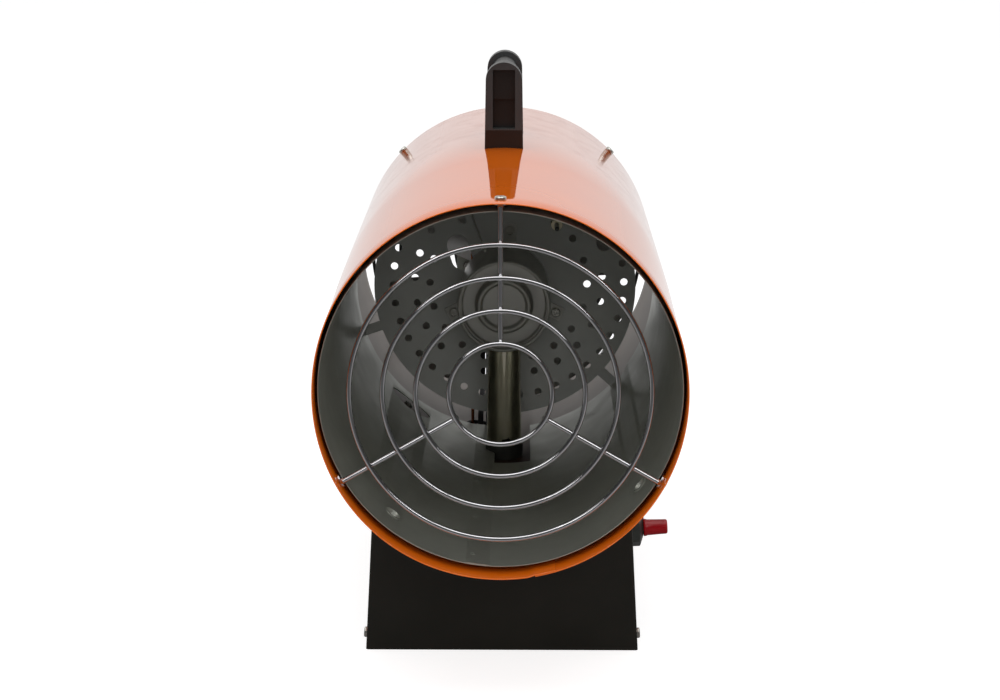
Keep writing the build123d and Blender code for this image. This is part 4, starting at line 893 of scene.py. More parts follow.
def washer(seat: Matrix, outer: float, inner: float, height: float) -> bmesh.types.BMesh:
    """A flat ring with softened edges that stands on a seat.

    Args:
        seat: The seat, with Z along the ring's axis.
        outer: The outer radius.
        inner: The hole's radius.
        height: The ring's height.

    Returns:
        The ring's mesh.
    """
    soft = min(height, outer - inner) * 0.25
    outline = (arc((height - soft, outer - soft), soft, 90, 0, 4)
               + arc((height - soft, inner + soft), soft, 0, -90, 4)
               + arc((soft, inner + soft), soft, -90, -180, 4)
               + arc((soft, outer - soft), soft, 180, 90, 4))
    return seated(spun(outline, steps=40), seat @ SPUN_TO_SEAT)


def gathered(meshes: Sequence[bmesh.types.BMesh]) -> bmesh.types.BMesh:
    """Puts several meshes into one.

    Args:
        meshes: The meshes, which are freed.

    Returns:
        One mesh that holds them all.
    """
    whole = bmesh.new()
    for mesh in meshes:
        holder = baked("holder", mesh)
        whole.from_mesh(holder)
        bpy.data.meshes.remove(holder)
    return whole


def smoothed(obj: bpy.types.Object, angle: float) -> None:
    """Shades a piece smoothly, up to edges of an angle in degrees."""
    obj.data.shade_smooth()
    obj.data.set_sharp_from_angle(angle=math.radians(angle))


def cut(obj: bpy.types.Object, cutters: Sequence[bmesh.types.BMesh]) -> None:
    """Takes closed shapes out of a piece.

    Args:
        obj: The piece, in metres.
        cutters: The shapes, in metres, which are freed.
    """
    holder = baked("cutter", gathered(cutters))
    tool = placed("cutter", holder)
    modifier = obj.modifiers.new("cut", "BOOLEAN")
    modifier.operation = "DIFFERENCE"
    modifier.solver = "EXACT"
    modifier.object = tool
    bpy.context.view_layer.update()
    graph = bpy.context.evaluated_depsgraph_get()
    shaped = bpy.data.meshes.new_from_object(obj.evaluated_get(graph))
    obj.modifiers.clear()
    old = obj.data
    obj.data = shaped
    bpy.data.meshes.remove(old)
    bpy.data.objects.remove(tool)
    bpy.data.meshes.remove(holder)


class Workshop:
    """Turns meshes into finished pieces that ride on the frame."""

    def __init__(self, frame: dict, barrel: Barrel) -> None:
        """Reads which body each node rides on.

        Args:
            barrel: The barrel's space.
        """
        self.frame = frame
        self.barrel = barrel
        bodies = frame["record"]["behaviour"]["bodies"]
        self.rides = {node: body for body, nodes in bodies.items() for node in nodes}

    def piece(self, name: str, mesh: bmesh.types.BMesh, finish: Finish, nodes: Sequence[str] = (),
              body: str = "heater", smooth: float = 40.0, metres: bool = False) -> bpy.types.Object:
        """Makes a finished piece from a mesh.

        Args:
            name: The piece's name.
            mesh: Its mesh, in barrel millimetres, which is freed.
            finish: Its finish.
            nodes: The CAD nodes that it stands for.
            body: The body that it rides on.
            smooth: The sharpest smooth edge, in degrees.
            metres: Whether the mesh is already in the frame's metres.

        Returns:
            The piece.
        """
        if not metres:
            moved(mesh, self.barrel.to_metres)
        data = baked(name, mesh)
        obj = placed(name, data)
        data.materials.append(finish.material())
        smoothed(obj, smooth)
        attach(obj, body)
        if nodes:
            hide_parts(*nodes)
        logger.info("%s: %d faces, stands for %s", name, len(data.polygons), ", ".join(nodes) or "nothing")
        return obj

    def softened(self, node: str, finish: Finish, edge: float = 0.0,
                 settled: bool = False) -> bpy.types.Object:
        """Dresses a merged copy of a node, with its sharp edges rounded.

        Args:
            node: The CAD node.
            finish: Its finish.
            edge: The rounding's width in millimetres, or 0 for none.
            settled: Whether it moves with the barrel's oval front.

        Returns:
            The piece, which stands for the node.
        """
        mesh = bmesh.new()
        mesh.from_mesh(self.frame["nodes"][node].data)
        bmesh.ops.remove_doubles(mesh, verts=mesh.verts, dist=1e-6)
        bmesh.ops.dissolve_limit(mesh, angle_limit=math.radians(1.0), verts=mesh.verts, edges=mesh.edges)
        if edge:
            sharp = [e for e in mesh.edges if e.is_manifold and e.calc_face_angle() > SHARP_EDGE]
            bmesh.ops.bevel(mesh, geom=sharp, offset=edge * MM, offset_type="OFFSET", affect="EDGES",
                            segments=2, profile=0.5, material=-1, clamp_overlap=True)
        if settled:
            FRONT_OVAL.settle(moved(mesh, self.barrel.to_metres.inverted()))
        obj = self.piece(f"{node}_dressed", mesh, finish, (node,), self.rides[node], PACKED_SMOOTH,
                         metres=not settled)
        if edge:
            weights = obj.modifiers.new("even_shading", "WEIGHTED_NORMAL")
            weights.keep_sharp = True
        return obj


# ---------------------------------------------------------------- the barrel


@dataclass(frozen=True)
class FrontOval:
    """How the barrel's open end has settled out of round.

    Attributes:
        narrow: How far each side has moved in at the front edge.
        rise: How far the top has moved out there.
        reach: The depth where the barrel is round again.
        inner: The radius inside which nothing moves.
        outer: The radius from which everything moves fully.
    """

    narrow: float = 2.2
    rise: float = 1.8
    reach: float = 210.0
    inner: float = 106.0
    outer: float = 119.0

    def settle(self, mesh: bmesh.types.BMesh) -> bmesh.types.BMesh:
        """Moves what lies on the barrel's wall with it.

        Args:
            mesh: A mesh in barrel millimetres.

        Returns:
            The same mesh.
        """
        for point in mesh.verts:
            radius = math.hypot(point.co.x, point.co.z)
            share = max(0.0, 1.0 - max(0.0, point.co.y) / self.reach)
            hold = min(1.0, max(0.0, (radius - self.inner) / (self.outer - self.inner)))
            if radius and share * hold:
                side, top = abs(point.co.x) / radius, max(0.0, point.co.z / radius)
                shift = self.rise * top ** 4 - self.narrow * side ** 4
                shift *= hold * share * share * (3 - 2 * share)
                point.co.x += point.co.x / radius * shift
                point.co.z += point.co.z / radius * shift
        return mesh


FRONT_OVAL = FrontOval()


@dataclass
class BarrelSheet:
    """The orange barrel, rolled from one sheet with a lapped seam below.

    Attributes:
        length: Front edge to rear edge.
        radius: The outer radius.
        wall: The sheet's thickness.
        outer_end: The angle where the sheet's outer end lies.
        lap: How far the inner end reaches under it, in degrees.
        lap_room: The play between the two layers.
        step: How long the crimp beside the lap is, in degrees.
        crimp_steps: How many rows of faces the crimp has.
        bands: How many rows of faces follow the oval front.
    """

    length: float = 525.0
    radius: float = 125.0
    wall: float = 0.8
    outer_end: float = -79.3
    lap: float = 6.5
    lap_room: float = 0.05
    step: float = 2.4
    crimp_steps: int = 6
    bands: int = 8

    def section(self) -> list[tuple[float, float]]:
        """The sheet's cut section, with rounded edges."""
        half = self.wall / 2
        middle = self.radius - half
        inside, outside = middle - half, middle + half
        steps = [FRONT_OVAL.reach * number / self.bands for number in range(1, self.bands + 1)]
        return (arc((half, middle), half, 270, 90, 7)
                + [(step, outside) for step in steps]
                + arc((self.length - half, middle), half, 90, -90, 7)
                + [(step, inside) for step in reversed(steps)])

    def mesh(self) -> bmesh.types.BMesh:
        """Rolls the sheet round and tucks its end under its start.

        Returns:
            The sheet's mesh.
        """
        mesh = bmesh.new()
        points, edges = swept(mesh, laid_section(mesh, self.section(), self.outer_end), 360 - self.step, 180)
        for _ in range(self.crimp_steps):
            points, edges = swept(mesh, points + edges, self.step / self.crimp_steps, 1)
            middle = sum((point.co for point in points), Vector()) / len(points)
            inward = -Vector((middle.x, 0, middle.z)).normalized() * (self.wall + self.lap_room)
            bmesh.ops.translate(mesh, vec=inward / self.crimp_steps, verts=points)
        _, edges = swept(mesh, points + edges, self.lap, 6)
        bmesh.ops.contextual_create(mesh, geom=edges)
        bmesh.ops.recalc_face_normals(mesh, faces=mesh.faces)
        return mesh

    def build(self, shop: Workshop) -> None:
        """Makes the sheet."""
        sheet = FRONT_OVAL.settle(self.mesh())
        shop.piece("barrel_sheet", sheet, ORANGE, ("outer_shell",), smooth=SHEET_SMOOTH)


# a pressed stand-off's section: height above the drum's wall and radius
STAND_OFF = ((0.0, 6.6), (-0.4, 6.2), (1.2, 5.5), (3.4, 4.6), (3.7, 4.0), (3.7, 0.0),
             (3.1, 0.0), (3.1, 3.6), (2.8, 4.0), (0.6, 4.9), (-0.9, 5.7), (-0.5, 6.6))


@dataclass
class Drum:
    """The galvanised combustion drum inside the barrel.

    Attributes:
        front: Its front edge's depth.
        back: Its rear edge's depth.
        inner: Its inner radius.
        wall: The sheet's thickness.
        slot_width: The floor slot's width.
        slot_length: The floor slot's length, open at the rear.
        window: The depth and angle of the oval window.
        window_size: Its half length, and its width over its length.
        dimples: The angles of the pressed stand-offs.
        dimple_depth: Their depth behind the barrel's front.
        dimple_hole: The radius cut out for each.
        notch: The radius and angle of the round notch in the rear edge.
        seam: The angles of the lapped seam's two edges.
        seam_edge: How far its edge stands in.
        welds: The depths of the seam's spot welds.
        weld: A spot weld's outer radius, inner radius and height.
    """

    front: float = 12.0
    back: float = 371.0
    inner: float = 119.2
    wall: float = 0.8
    slot_width: float = 41.0
    slot_length: float = 108.0
    window: tuple[float, float] = (340.0, -129.5)
    window_size: tuple[float, float] = (13.0, 1.46)
    dimples: tuple[float, ...] = (-128.0, -38.0, 52.0, 142.0)
    dimple_depth: float = 47.0
    dimple_hole: float = 6.0
    notch: tuple[float, float] = (11.0, -39.0)
    seam: tuple[float, float] = (-101.0, -93.5)
    seam_edge: float = 0.55
    welds: tuple[float, ...] = (32.0, 117.0, 205.0, 290.0)
    weld: tuple[float, float, float] = (2.3, 1.5, 0.4)

    def cutters(self, barrel: Barrel) -> list[bmesh.types.BMesh]:
        """The shapes of its openings, in metres.

        Args:
            barrel: The barrel's space.

        Returns:
            The shapes.
        """
        slot = bmesh.new()
        bmesh.ops.create_cube(slot, size=1.0, matrix=Matrix.Translation((0, self.back, -self.inner))
                              @ Matrix.Diagonal((self.slot_width, self.slot_length * 2, 20, 1)))
        half_length, widening = self.window_size
        window = rod(barrel.radial(*self.window, self.inner - 8), half_length, 16.0, sides=48)
        seat = barrel.radial(*self.window, 0)
        stretch = seat @ Matrix.Diagonal((1.0, widening, 1.0, 1.0)) @ seat.inverted()
        moved(window, stretch)
        radius, angle = self.notch
        shapes = [slot, window, rod(barrel.radial(self.back, angle, self.inner - 8), radius, 16.0, sides=48)]
        for angle in self.dimples:
            hole = barrel.radial(self.dimple_depth, angle, self.inner - 4)
            shapes.append(rod(hole, self.dimple_hole, 9.0, sides=32))
        return [moved(shape, barrel.to_metres) for shape in shapes]

    def build(self, shop: Workshop) -> None:
        """Makes the drum, its stand-offs and its seam.

        Args:
            shop: Where pieces are finished.
        """
        half = self.wall / 2
        middle = self.inner + half
        outline = (arc((self.front + half, middle), half, 270, 90, 5)
                   + arc((self.back - half, middle), half, 90, -90, 5))
        drum = shop.piece("drum_sheet", spun(outline, steps=160), ZINC, ("inner_drum",))
        cut(drum, self.cutters(shop.barrel))
        smoothed(drum, 40.0)
        seats = [shop.barrel.radial(self.dimple_depth, angle, self.inner) for angle in self.dimples]
        dishes = [seated(spun(STAND_OFF, 32), seat @ SPUN_TO_SEAT) for seat in seats]
        shop.piece("drum_stand_offs", gathered(dishes), ZINC)
        self.build_seam(shop)

    def build_seam(self, shop: Workshop) -> None:
        """Makes the lapped edge of the drum's sheet, with its spot welds.

        Args:
            shop: Where pieces are finished.
        """
        edge, fade = self.seam
        mesh = bmesh.new()
        start, stop = self.front + 0.3, self.back - 0.3
        above, below = self.inner - self.seam_edge, self.inner + 0.1
        outline = [(start, above), (stop, above), (stop, below), (start, below)]
        points, rim = swept(mesh, laid_section(mesh, outline, edge), fade - edge, 6)
        for point in points:
            flat = Vector((point.co.x, 0, point.co.z))
            if flat.length < self.inner - 0.2:
                point.co += flat.normalized() * 0.5
        bmesh.ops.contextual_create(mesh, geom=rim)
        bmesh.ops.recalc_face_normals(mesh, faces=mesh.faces)
        spots = [washer(shop.barrel.radial(depth, edge + 1.7, self.inner - 0.75), *self.weld)
                 for depth in self.welds]
        shop.piece("drum_seam", gathered([mesh, *spots]), ZINC)


# ---------------------------------------------------------------- the wire guards


@dataclass
class WireGuard:
    """Welded wire rings on spokes that end in screwed eyes.

    Attributes:
        name: The piece's name.
        node: The CAD node that it stands for.
        finish: Its finish.
        radii: The rings' radii.
        thickness: The wire's thickness.
        depth: The rings' plane.
        inward: 1 where the spokes lie behind the rings, or -1.
        angles: The spokes' angles.
        eye_depth: The eyes' depth.
        eye_seat: How far out the eyes' outer faces lie.
        eye_radius: The eyes' radius.
        eye_thickness: How thick the eyes are pressed.
        eye_hole: The radius of the hole in each eye.
        weld_reach: How far apart rings and spokes lie, in wire thicknesses.
    """

    name: str
    node: str
    finish: Finish
    radii: tuple[float, ...]
    thickness: float
    depth: float
    inward: int
    angles: tuple[float, ...]
    eye_depth: float
    eye_seat: float = 124.02
    eye_radius: float = 5.5
    eye_thickness: float = 2.0
    eye_hole: float = 2.15
    weld_reach: float = 0.8

    def spoke(self, barrel: Barrel, angle: float) -> list[bmesh.types.BMesh]:
        """One spoke with its eye and its welds.

        Args:
            barrel: The barrel's space.
            angle: The spoke's angle.

        Returns:
            The spoke's meshes.
        """
        plane = self.depth + self.inward * self.thickness * self.weld_reach
        half = self.thickness / 2
        start = self.radii[0] - half * 0.6
        stop = self.eye_seat - self.eye_thickness * 1.6
        seat = barrel.radial(plane, angle, start)
        shapes = [rod(seat, half, stop - start)]
        shapes.append(bead(seat, scaled(half, ROUNDED_END)))
        neck = barrel.radial(plane + self.inward * half * 0.5, angle, stop)
        shapes.append(bead(neck, scaled(half, PRESSED_NECK)))
        eye = barrel.radial(self.eye_depth, angle, self.eye_seat - self.eye_thickness)
        shapes.append(washer(eye, self.eye_radius, self.eye_hole, self.eye_thickness))
        for radius in self.radii:
            joint = barrel.radial((self.depth + plane) / 2, angle, radius + half * 0.7)
            shapes.append(bead(joint, scaled(half, CROSS_WELD)))
        return shapes

    def build(self, shop: Workshop) -> None:
        """Makes the guard.

        Args:
            shop: Where pieces are finished.
        """
        shapes = [wire_ring(self.depth, radius, self.thickness) for radius in self.radii]
        for angle in self.angles:
            shapes.extend(self.spoke(shop.barrel, angle))
        wires = FRONT_OVAL.settle(gathered(shapes))
        shop.piece(self.name, wires, self.finish, (self.node,), smooth=WIRE_SMOOTH)


# ---------------------------------------------------------------- the burner


@dataclass
class Burner:
    """The burner's cup, cap and mixing tube.

    Attributes:
        front: The depth of the cup's rim.
        back: The depth of the plate that carries the cup.
        radius: The cup's radius.
        sheet: The sheet's thickness.
        bend: The radius of the cup's bend at its floor.
        press: The radius of the cap's bends.
        rim: The rolled rim's thickness.
        face: The cap's face radius.
        crown: The cap's radius behind its bevel.
        trough: The trough's outer radius.
        tube_depth: The mixing tube's axis.
        tube: The tube's radii at its top and its foot.
        tube_wall: The tube's wall.
        foot: The height of the tube's foot.
    """

    front: float = 282.0
    back: float = 362.0
    radius: float = 35.0
    sheet: float = 1.0
    bend: float = 3.0
    press: float = 1.2
    rim: float = 3.0
    face: float = 17.0
    crown: float = 22.0
    trough: float = 32.5
    tube_depth: float = 303.0
    tube: tuple[float, float] = (12.9, 13.7)
    tube_wall: float = 1.2
    foot: float = -122.2

    def cup(self) -> bmesh.types.BMesh:
        """The drawn cup, with its mouth rolled over a wire."""
        half = self.rim / 2
        neck, inside = self.front + 5, self.radius - self.sheet
        floor = self.back - self.sheet
        outline = arc((self.front + half, self.radius - self.sheet / 2), half, 210, 60, 24)
        outline += [(neck, self.radius)]
        outline += arc((self.back - self.bend, self.radius - self.bend), self.bend, 90, 0, 6)
        outline += [(self.back, 0.0), (floor, 0.0)]
        outline += arc((floor - self.bend, inside - self.bend), self.bend, 0, 90, 6)
        outline += [(neck, inside)]
        return spun(outline, steps=96)

    def cap(self) -> bmesh.types.BMesh:
        """The stepped cap, with a dished face and a trough for the flame."""
        start, shelf, floor = self.front + 1, self.front + 6, self.front + 10
        outer, inner = self.radius - self.sheet - 0.05, self.crown - self.sheet
        bend, behind = self.press, self.trough + self.sheet
        outline = [(start + 3.2, 0.0), (start + 3.2, self.face - bend)]
        outline += arc((start + 2.0, self.face - bend), bend, 0, 70, 5)
        outline += arc((start + 1.9, self.face + 2.2), 1.9, 250, 110, 12)
        outline += [(start + 2.5, self.crown - 1.0), (start + 3.9, self.crown)]
        outline += arc((floor - bend, self.crown + bend), bend, 270, 360, 5)
        outline += arc((floor - bend, self.trough - bend), bend, 0, 90, 5)
        outline += arc((shelf + 0.8, self.trough + 0.8), 0.8, 270, 180, 5)
        outline += [(shelf, outer), (shelf + self.sheet, outer), (shelf + self.sheet, behind)]
        outline += [(floor + self.sheet, behind), (floor + self.sheet, inner), (start + 4.4, inner)]
        outline += [(start + 4.4, self.face - 1.6), (start + 4.2, 0.0)]
        return spun(outline, steps=128)

    def mixing_tube(self) -> bmesh.types.BMesh:
        """The tapered tube, turned about its own upright axis."""
        top, bottom = self.tube
        high = -self.radius + 1.0
        outline = [(high, top - self.tube_wall), (high, top), (high - 26, top + 0.05),
                   (-78, (top + bottom) / 2), (self.foot + 18, bottom - 0.05), (self.foot + 0.4, bottom),
                   (self.foot, bottom - 0.4), (self.foot, bottom - self.tube_wall)]
        upright = Matrix.Rotation(math.radians(90), 4, "X")
        return seated(spun(outline, steps=72), Matrix.Translation((0, self.tube_depth, 0)) @ upright)

    def build(self, shop: Workshop) -> None:
        """Makes the burner.

        Args:
            shop: Where pieces are finished.
        """
        for name, mesh, finish, node in (
            ("burner_cup_drawn", self.cup(), STAINLESS, "burner_cup"),
            ("burner_cap_pressed", self.cap(), STAINLESS, "burner_cap"),
            ("mixing_tube_drawn", self.mixing_tube(), DRAWN_TUBE, "mixing_tube"),
        ):
            shop.piece(name, mesh, finish, (node,), smooth=SHEET_SMOOTH)


# ---------------------------------------------------------------- the handle


@dataclass
class Handle:
    """Two moulded posts and the round grip between them.

    Attributes:
        start: The depth where the grip leaves the front post's socket.
        length: The grip's length, with its ends in the sockets.
        axis: The grip's height above the barrel's axis.
        radius: The grip's radius.
        bore: How far in the wall of each open end reaches.
        groove: How deep the two turned grooves are.
        groove_half: Half a groove's width.
        groove_inset: How far each lies from its end.
        recess: The width of the recess in each post.
    """

    start: float = 276.0
    length: float = 79.0
    axis: float = 175.6
    radius: float = 9.5
    bore: float = 2.5
    groove: float = 0.7
    groove_half: float = 1.6
    groove_inset: float = 9.0
    recess: float = 16.6

    def grip(self) -> bmesh.types.BMesh:
        """The grip, with a turned groove near each end."""
        stop = self.start + self.length
        reach, shallow = self.groove_half, self.radius - self.groove * 0.8
        outline = [(self.start, self.radius - self.bore), (self.start, self.radius)]
        for centre in (self.start + self.groove_inset, stop - self.groove_inset):
            outline += [(centre - reach, self.radius), (centre - reach / 2, shallow),
                        (centre, self.radius - self.groove),
                        (centre + reach / 2, shallow), (centre + reach, self.radius)]
        outline += [(stop, self.radius), (stop, self.radius - self.bore)]
        return moved(spun(outline, steps=64), Matrix.Translation((0, 0, self.axis)))

    def darken_recess(self, obj: bpy.types.Object, node: str) -> None:
        """Makes the floor of the recess in a post a darker, glossier black.

        Args:
            obj: The dressed post.
            node: The CAD node that it stands for.
        """
        low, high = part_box(node)
        middle = (low.y + high.y) / 2
        # the recess floor takes a darker, glossier black than the rest of the post
        obj.data.materials.append(SMOOTH_PLASTIC.material())
        for face in obj.data.polygons:
            inside = abs(face.center.x) < (self.recess / 2 + 0.1) * MM
            sunk = low.y + 2 * MM < face.center.y < high.y - 2 * MM
            if inside and sunk and abs(face.normal.y) > 0.9 and abs(face.center.y - middle) > MM:
                face.material_index = 1

    def build(self, shop: Workshop) -> None:
        """Makes the handle.

        Args:
            shop: Where pieces are finished.
        """
        for post in ("handle_front_post", "handle_rear_post"):
            self.darken_recess(shop.softened(post, BLACK_PLASTIC, 0.8), post)
        shop.piece("handle_grip_moulded", self.grip(), BLACK_PLASTIC, ("handle_grip",), smooth=SHEET_SMOOTH)
        shop.softened("handle_screws", SCREW_ZINC, 0.15)


# ---------------------------------------------------------------- the base and the gas side


@dataclass
class GasInlet:
    """The red cap on the inlet's stub, and the gas fittings behind it.

    Attributes:
        depth: The inlet's depth.
        height: The inlet's height above the floor.
        half_width: Half the base's width at the floor.
        lean: How far the base's side leans, in degrees.
        seat: Where the cap starts, above the panel.
        length: The cap's length.
        root: The cap's radius at its open end.
        tip: The cap's radius at its closed end.
        bore: The cap's bore radius.
        wall: The thickness of its closed end.
    """

    depth: float = 180.0
    height: float = 69.5
    half_width: float = 97.5
    lean: float = 3.2
    seat: float = 10.3
    length: float = 17.8
    root: float = 6.1
    tip: float = 5.4
    bore: float = 4.83
    wall: float = 1.2

    def cap(self) -> bmesh.types.BMesh:
        """The soft cap, with a rolled lip and a rounded end."""
        outline = [(1.2, self.bore), (0.4, self.bore)]
        outline += arc((0.75, self.root - 0.35), 0.75, 225, 90, 6)
        outline += [(2.2, self.root + 0.15), (2.9, self.root - 0.15), (self.length - 3.0, self.tip + 0.05)]
        outline += arc((self.length - 1.3, self.tip - 1.3), 1.3, 90, 0, 6)
        outline += [(self.length - 0.15, 2.0), (self.length, 1.6), (self.length, 0.0)]
        outline += [(self.length - self.wall, 0.0), (self.length - self.wall, self.bore)]
        return spun(outline, steps=56)

    def panel(self, barrel: Barrel) -> Matrix:
        """The inlet's seat on the leaning panel.

        Args:
            barrel: The barrel's space.

        Returns:
            A matrix whose Y points out of the panel.
        """
        lean = math.radians(self.lean)
        out = Vector((math.cos(lean), 0, math.sin(lean)))
        up = Vector((-math.sin(lean), 0, math.cos(lean)))
        reach = self.half_width - self.height * math.tan(lean)
        spot = Vector((reach, self.depth, self.height - barrel.axis * 1000))
        return frame_matrix(up, out, up.cross(out), spot)

    def build(self, shop: Workshop) -> None:
        """Makes the inlet.

        Args:
            shop: Where pieces are finished.
        """
        seat = self.panel(shop.barrel) @ Matrix.Translation((0, self.seat, 0))
        cap = seated(self.cap(), seat)
        shop.piece("inlet_cap_moulded", cap, RED, ("inlet_cap",), "inlet_cap", SHEET_SMOOTH)
        GAS_FITTINGS.build(shop)


@dataclass
class Fittings:
    """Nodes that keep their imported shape, with rounded edges and a finish each.

    Attributes:
        title: What they are part of.
        rows: The node, its finish and the rounding's width in millimetres.
    """

    title: str
    rows: tuple[tuple[str, Finish, float], ...]

    def build(self, shop: Workshop) -> None:
        """Dresses each node in turn.

        Args:
            shop: Where pieces are finished.
        """
        logger.info("%s: %d nodes", self.title, len(self.rows))
        for node, finish, edge in self.rows:
            shop.softened(node, finish, edge)


BURNER_FITTINGS = Fittings("burner", (
    ("tube_collar", DARK_STEEL, 0.25),
    ("burner_plate", PLATE, 0.0),
    ("burner_brackets", STAINLESS, 0.3),
    ("burner_bracket_screws", SCREW_ZINC, 0.12),
    ("burner_bracket_nuts", SCREW_ZINC, 0.15),
    ("plate_rivets", SCREW_ZINC, 0.25),
    ("igniter_ceramic", CERAMIC, 0.4),
    ("igniter_electrode", DARK_STEEL, 0.2),
    ("thermocouple", STAINLESS, 0.15),
    ("gas_nozzle", BRASS, 0.3),
))
GAS_FITTINGS = Fittings("gas", (
    ("gas_inlet_fitting", FITTING, 0.4),
    ("gas_valve_body", BRASS, 0.6),
    ("gas_pipe", COPPER, 0.0),
))
BASE = Fittings("base", (
    ("base_housing", BLACK_PAINT, 0.35),
    ("base_bottom_plate", BLACK_PAINT, 0.35),
    ("base_screws", SCREW_ZINC, 0.15),
    ("saddle_screws", SCREW_ZINC, 0.15),
    ("saddle_nuts", SCREW_ZINC, 0.2),
    ("cable_gland", BLACK_PLASTIC, 0.4),
    ("gland_locknut", BLACK_PLASTIC, 0.3),
    ("lead_grommet", RUBBER, 0.4),
    ("terminal_block", WHITE_PLASTIC, 0.4),
))
CONTROLS = Fittings("controls", (
    ("valve_button", RED, 0.6),
    ("valve_nut", SCREW_ZINC, 0.3),
    ("piezo_body", BLACK_PLASTIC, 0.3),
    ("piezo_button", RED, 0.6),
    ("piezo_nut", BLACK_PLASTIC, 0.3),
    ("switch_body", BLACK_PLASTIC, 0.4),
    ("switch_rocker", BLACK_PLASTIC, 0.4),
))
AIR_SIDE = Fittings("fan and motor", (
    ("fan", ALUMINIUM, 0.2),
    ("fan_nut", SCREW_ZINC, 0.3),
    ("motor_shaft", GROUND, 0.3),
    ("motor_rotor", DARK_STEEL, 0.3),
    ("stator_core", DARK_STEEL, 0.2),
    ("stator_windings", COPPER, 0.8),
    ("motor_can", BLACK_PAINT, 0.2),
    ("motor_end_caps", ALUMINIUM, 0.4),
    ("motor_bearings", GROUND, 0.3),
    ("motor_strap", ZINC, 0.3),
    ("motor_screws", SCREW_ZINC, 0.15),
    ("strap_screws", SCREW_ZINC, 0.15),
    ("limit_thermostat", BLACK_PLASTIC, 0.25),
))
LEADS = Fittings("leads", (
    ("ignition_lead", RUBBER, 0.0),
    ("thermocouple_lead", COPPER, 0.0),
    ("motor_lead", RUBBER, 0.0),
))


# ---------------------------------------------------------------- the studio


LAMP_TARGET = (0, 0, 0.22)      # a point in the barrel, in metres


@dataclass(frozen=True)
class Lamp:
    """A softbox that looks at the barrel.

    Attributes:
        name: The lamp's name.
        place: Where it stands, in metres.
        size: Its width and height, in metres.
        power: Its power in watts.
        mirrored: Whether bright metal shows it.
    """

    name: str
    place: tuple[float, float, float]
    size: tuple[float, float]
    power: float
    mirrored: bool = True

    def build(self) -> None:
        """Sets the lamp up."""
        data = bpy.data.lights.new(self.name, "AREA")
        data.shape = "RECTANGLE"
        data.size, data.size_y = self.size
        data.energy = self.power
        obj = placed(self.name, data)
        obj.location = self.place
        obj.visible_glossy = self.mirrored
        aim = Vector(LAMP_TARGET) - Vector(self.place)
        obj.rotation_euler = aim.to_track_quat("-Z", "Y").to_euler()


LAMPS = (
    Lamp("overhead_panel", (0.0, -0.3, 2.2), (2.4, 1.9), 24.0),
    Lamp("front_panel", (0.1, -2.3, 0.8), (1.0, 0.8), 10.5, mirrored=False),
    Lamp("left_strip", (-1.0, -1.8, 1.3), (0.3, 0.9), 3.4),
    Lamp("right_strip", (1.2, -1.7, 1.3), (0.3, 0.9), 3.4),
)


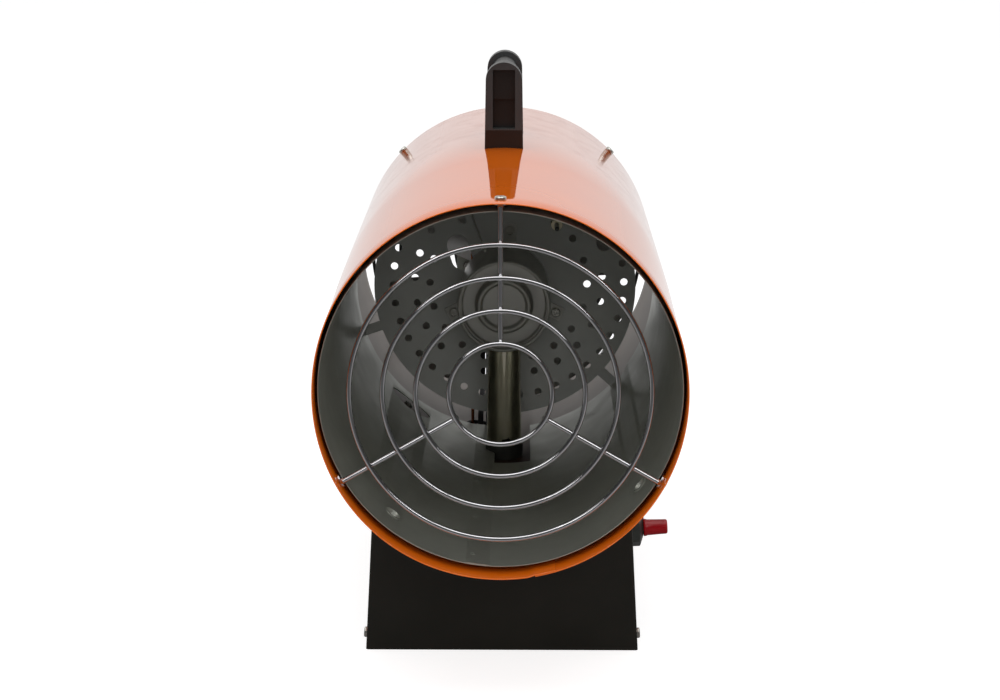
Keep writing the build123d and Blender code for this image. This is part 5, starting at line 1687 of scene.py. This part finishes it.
@dataclass
class Studio:
    """The camera, the lamps, the pale floor and the white surroundings.

    Attributes:
        camera_place: Where the camera stands, in metres.
        camera_turn: Its rotation, in degrees.
        lens: Its focal length in millimetres.
        sensor: Its sensor's width in millimetres.
        clip: The nearest and farthest that it sees, in metres.
        fill: The plain light from all round.
        floor_size: Half the floor's width, in metres.
        floor_colour: The floor's colour, linear.
        floor_shade: Its colour where bright metal shows it dimmed, linear.
        floor_glow: How much it glows to the camera, so that it looks white.
        mirrored_level: How dark and how bright the surroundings look in bright metal.
        back_edge: Between which directions along Y they turn bright.
        top_edge: Between which directions along Z they do.
    """

    camera_place: tuple[float, float, float] = (0.0145, -1.684, 0.576)
    camera_turn: tuple[float, float, float] = (77.0, 0.0, 0.588)
    lens: float = 81.8
    sensor: float = 36.0
    clip: tuple[float, float] = (0.05, 60.0)
    fill: float = 0.46
    floor_size: float = 12.0
    floor_colour: Colour = (0.50, 0.50, 0.50)
    floor_shade: Colour = (0.02, 0.02, 0.02)
    floor_glow: float = 0.76
    mirrored_level: tuple[float, float] = (0.06, 0.84)
    back_edge: tuple[float, float] = (0.0, 0.25)
    top_edge: tuple[float, float] = (0.56, 0.66)

    def camera(self) -> None:
        """Sets the camera up."""
        data = bpy.data.cameras.new("camera")
        data.lens = self.lens
        data.sensor_width = self.sensor
        data.clip_start, data.clip_end = self.clip
        obj = placed("camera", data)
        obj.location = self.camera_place
        obj.rotation_euler = [math.radians(value) for value in self.camera_turn]
        bpy.context.scene.camera = obj

    def floor(self) -> None:
        """Lays a pale floor that keeps the heater's shadow."""
        mesh = bmesh.new()
        bmesh.ops.create_grid(mesh, x_segments=1, y_segments=1, size=self.floor_size)
        data = baked("studio_floor", mesh)
        obj = placed("studio_floor", data)
        material = bpy.data.materials.new("studio_floor")
        material.use_nodes = True
        graph = Graph(material.node_tree)
        path = graph.add("ShaderNodeLightPath").outputs
        place = graph.split(graph.place())
        behind = graph.between(place["Y"], (0.1, 0.5), (0.0, 0.85))
        far = graph.between(place["Y"], (-0.9, -0.6), (0.85, 0.3))
        dim = graph.product(path["Is Glossy Ray"], far)
        seen = graph.product(path["Is Glossy Ray"], behind)
        whole = graph.maths("MAXIMUM", seen, path["Is Camera Ray"])
        graph.feed(material.node_tree.nodes["Principled BSDF"], {
            "Roughness": 0.9,
            "Specular IOR Level": 0.1,
            "Base Color": graph.blend(dim, (*self.floor_colour, 1.0), (*self.floor_shade, 1.0)),
            "Emission Color": WHITE,
            "Emission Strength": graph.product(whole, self.floor_glow),
        })
        data.materials.append(material)

    def surroundings(self) -> None:
        """Makes the world: white behind the heater, and darker on the side that it faces."""
        world = bpy.data.worlds.new("studio")
        bpy.context.scene.world = world
        world.use_nodes = True
        graph = Graph(world.node_tree)
        nodes = world.node_tree.nodes
        direction = graph.split(graph.add("ShaderNodeTexCoord").outputs["Generated"])
        behind = graph.between(direction["Y"], self.back_edge)
        above = graph.between(direction["Z"], self.top_edge)
        level = graph.between(graph.maths("MAXIMUM", behind, above), (0.0, 1.0), self.mirrored_level)
        path = graph.add("ShaderNodeLightPath").outputs
        plain = graph.maths("MAXIMUM", path["Is Glossy Ray"], path["Is Transmission Ray"])
        mirrored = graph.fed("ShaderNodeBackground", 0, {"Color": graph.blend(level, BLACK, WHITE)})
        white = graph.fed("ShaderNodeBackground", 0, {"Color": WHITE, "Strength": 1.0})
        graph.feed(nodes["Background"], {"Color": WHITE, "Strength": self.fill})
        light = nodes["Background"].outputs[0]
        for share, other in ((plain, mirrored), (path["Is Camera Ray"], white)):
            light = graph.fed("ShaderNodeMixShader", 0, {0: share, 1: light, 2: other})
        graph.feed(nodes["World Output"], {"Surface": light})

    def build(self) -> None:
        """Sets up the whole studio."""
        self.camera()
        self.floor()
        self.surroundings()
        for lamp in LAMPS:
            lamp.build()


# ---------------------------------------------------------------- the whole heater


def guards() -> list[WireGuard]:
    """The chrome guard at the hot end and the black one at the air intake."""
    return [
        WireGuard("front_guard_wires", "front_guard", CHROME, (33.7, 55.4, 77.1, 98.8), 3.4, 6.2, 1,
                  (90.0, 210.0, 330.0), 14.5),
        WireGuard("rear_guard_wires", "rear_guard", BLACK_WIRE, (20.0, 44.0, 68.0, 92.0, 116.0), 3.0,
                  520.0, -1, (45.0, 135.0, 225.0, 315.0), 512.1),
    ]


@dataclass
class ButtonSpring:
    """A spring under its button, which shortens when the button is pressed; its piece keeps its length.

    Attributes:
        node: The CAD node.
        joint: The button's joint, which is not used.
        room: The spring's length at rest, in millimetres, which is not used.
        travel: How far it shortens, the button's 6 mm and a little room, in millimetres, which is not used.
        lean: How far its panel leans inwards, in degrees, which is not used.
    """

    node: str
    joint: str
    room: float
    travel: float = 6.3
    lean: float = 3.2

    def build(self, shop: Workshop) -> None:
        """Dresses the spring and gives its piece a mesh of its own; it does not shorten.

        Args:
            shop: Where pieces are finished.
        """
        piece = shop.softened(self.node, GROUND)
        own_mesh(piece)


def springs() -> list[ButtonSpring]:
    """The springs under the gas valve's button and the igniter's button."""
    return [
        ButtonSpring("valve_spring", "valve_button_press", 11.0),
        ButtonSpring("piezo_spring", "piezo_button_press", 6.6),
    ]


def main() -> None:
    """Builds the heater on its frame."""
    logging.basicConfig(level=logging.INFO, format="%(name)s: %(message)s")
    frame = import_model()
    shop = Workshop(frame, Barrel.from_frame())
    Studio().build()
    BarrelSheet().build(shop)
    Drum().build(shop)
    for guard in guards():
        guard.build(shop)
    Burner().build(shop)
    BURNER_FITTINGS.build(shop)
    Handle().build(shop)
    GasInlet().build(shop)
    for group in (BASE, CONTROLS, AIR_SIDE, LEADS):
        group.build(shop)
    shop.softened("guard_screws", SCREW_ZINC, 0.15, settled=True)
    for spring in springs():
        spring.build(shop)
    bpy.context.scene.view_settings.view_transform = "Standard"
    logger.info("dressed %d nodes", len(frame["nodes"]))


if __name__ == "__main__":
    main()
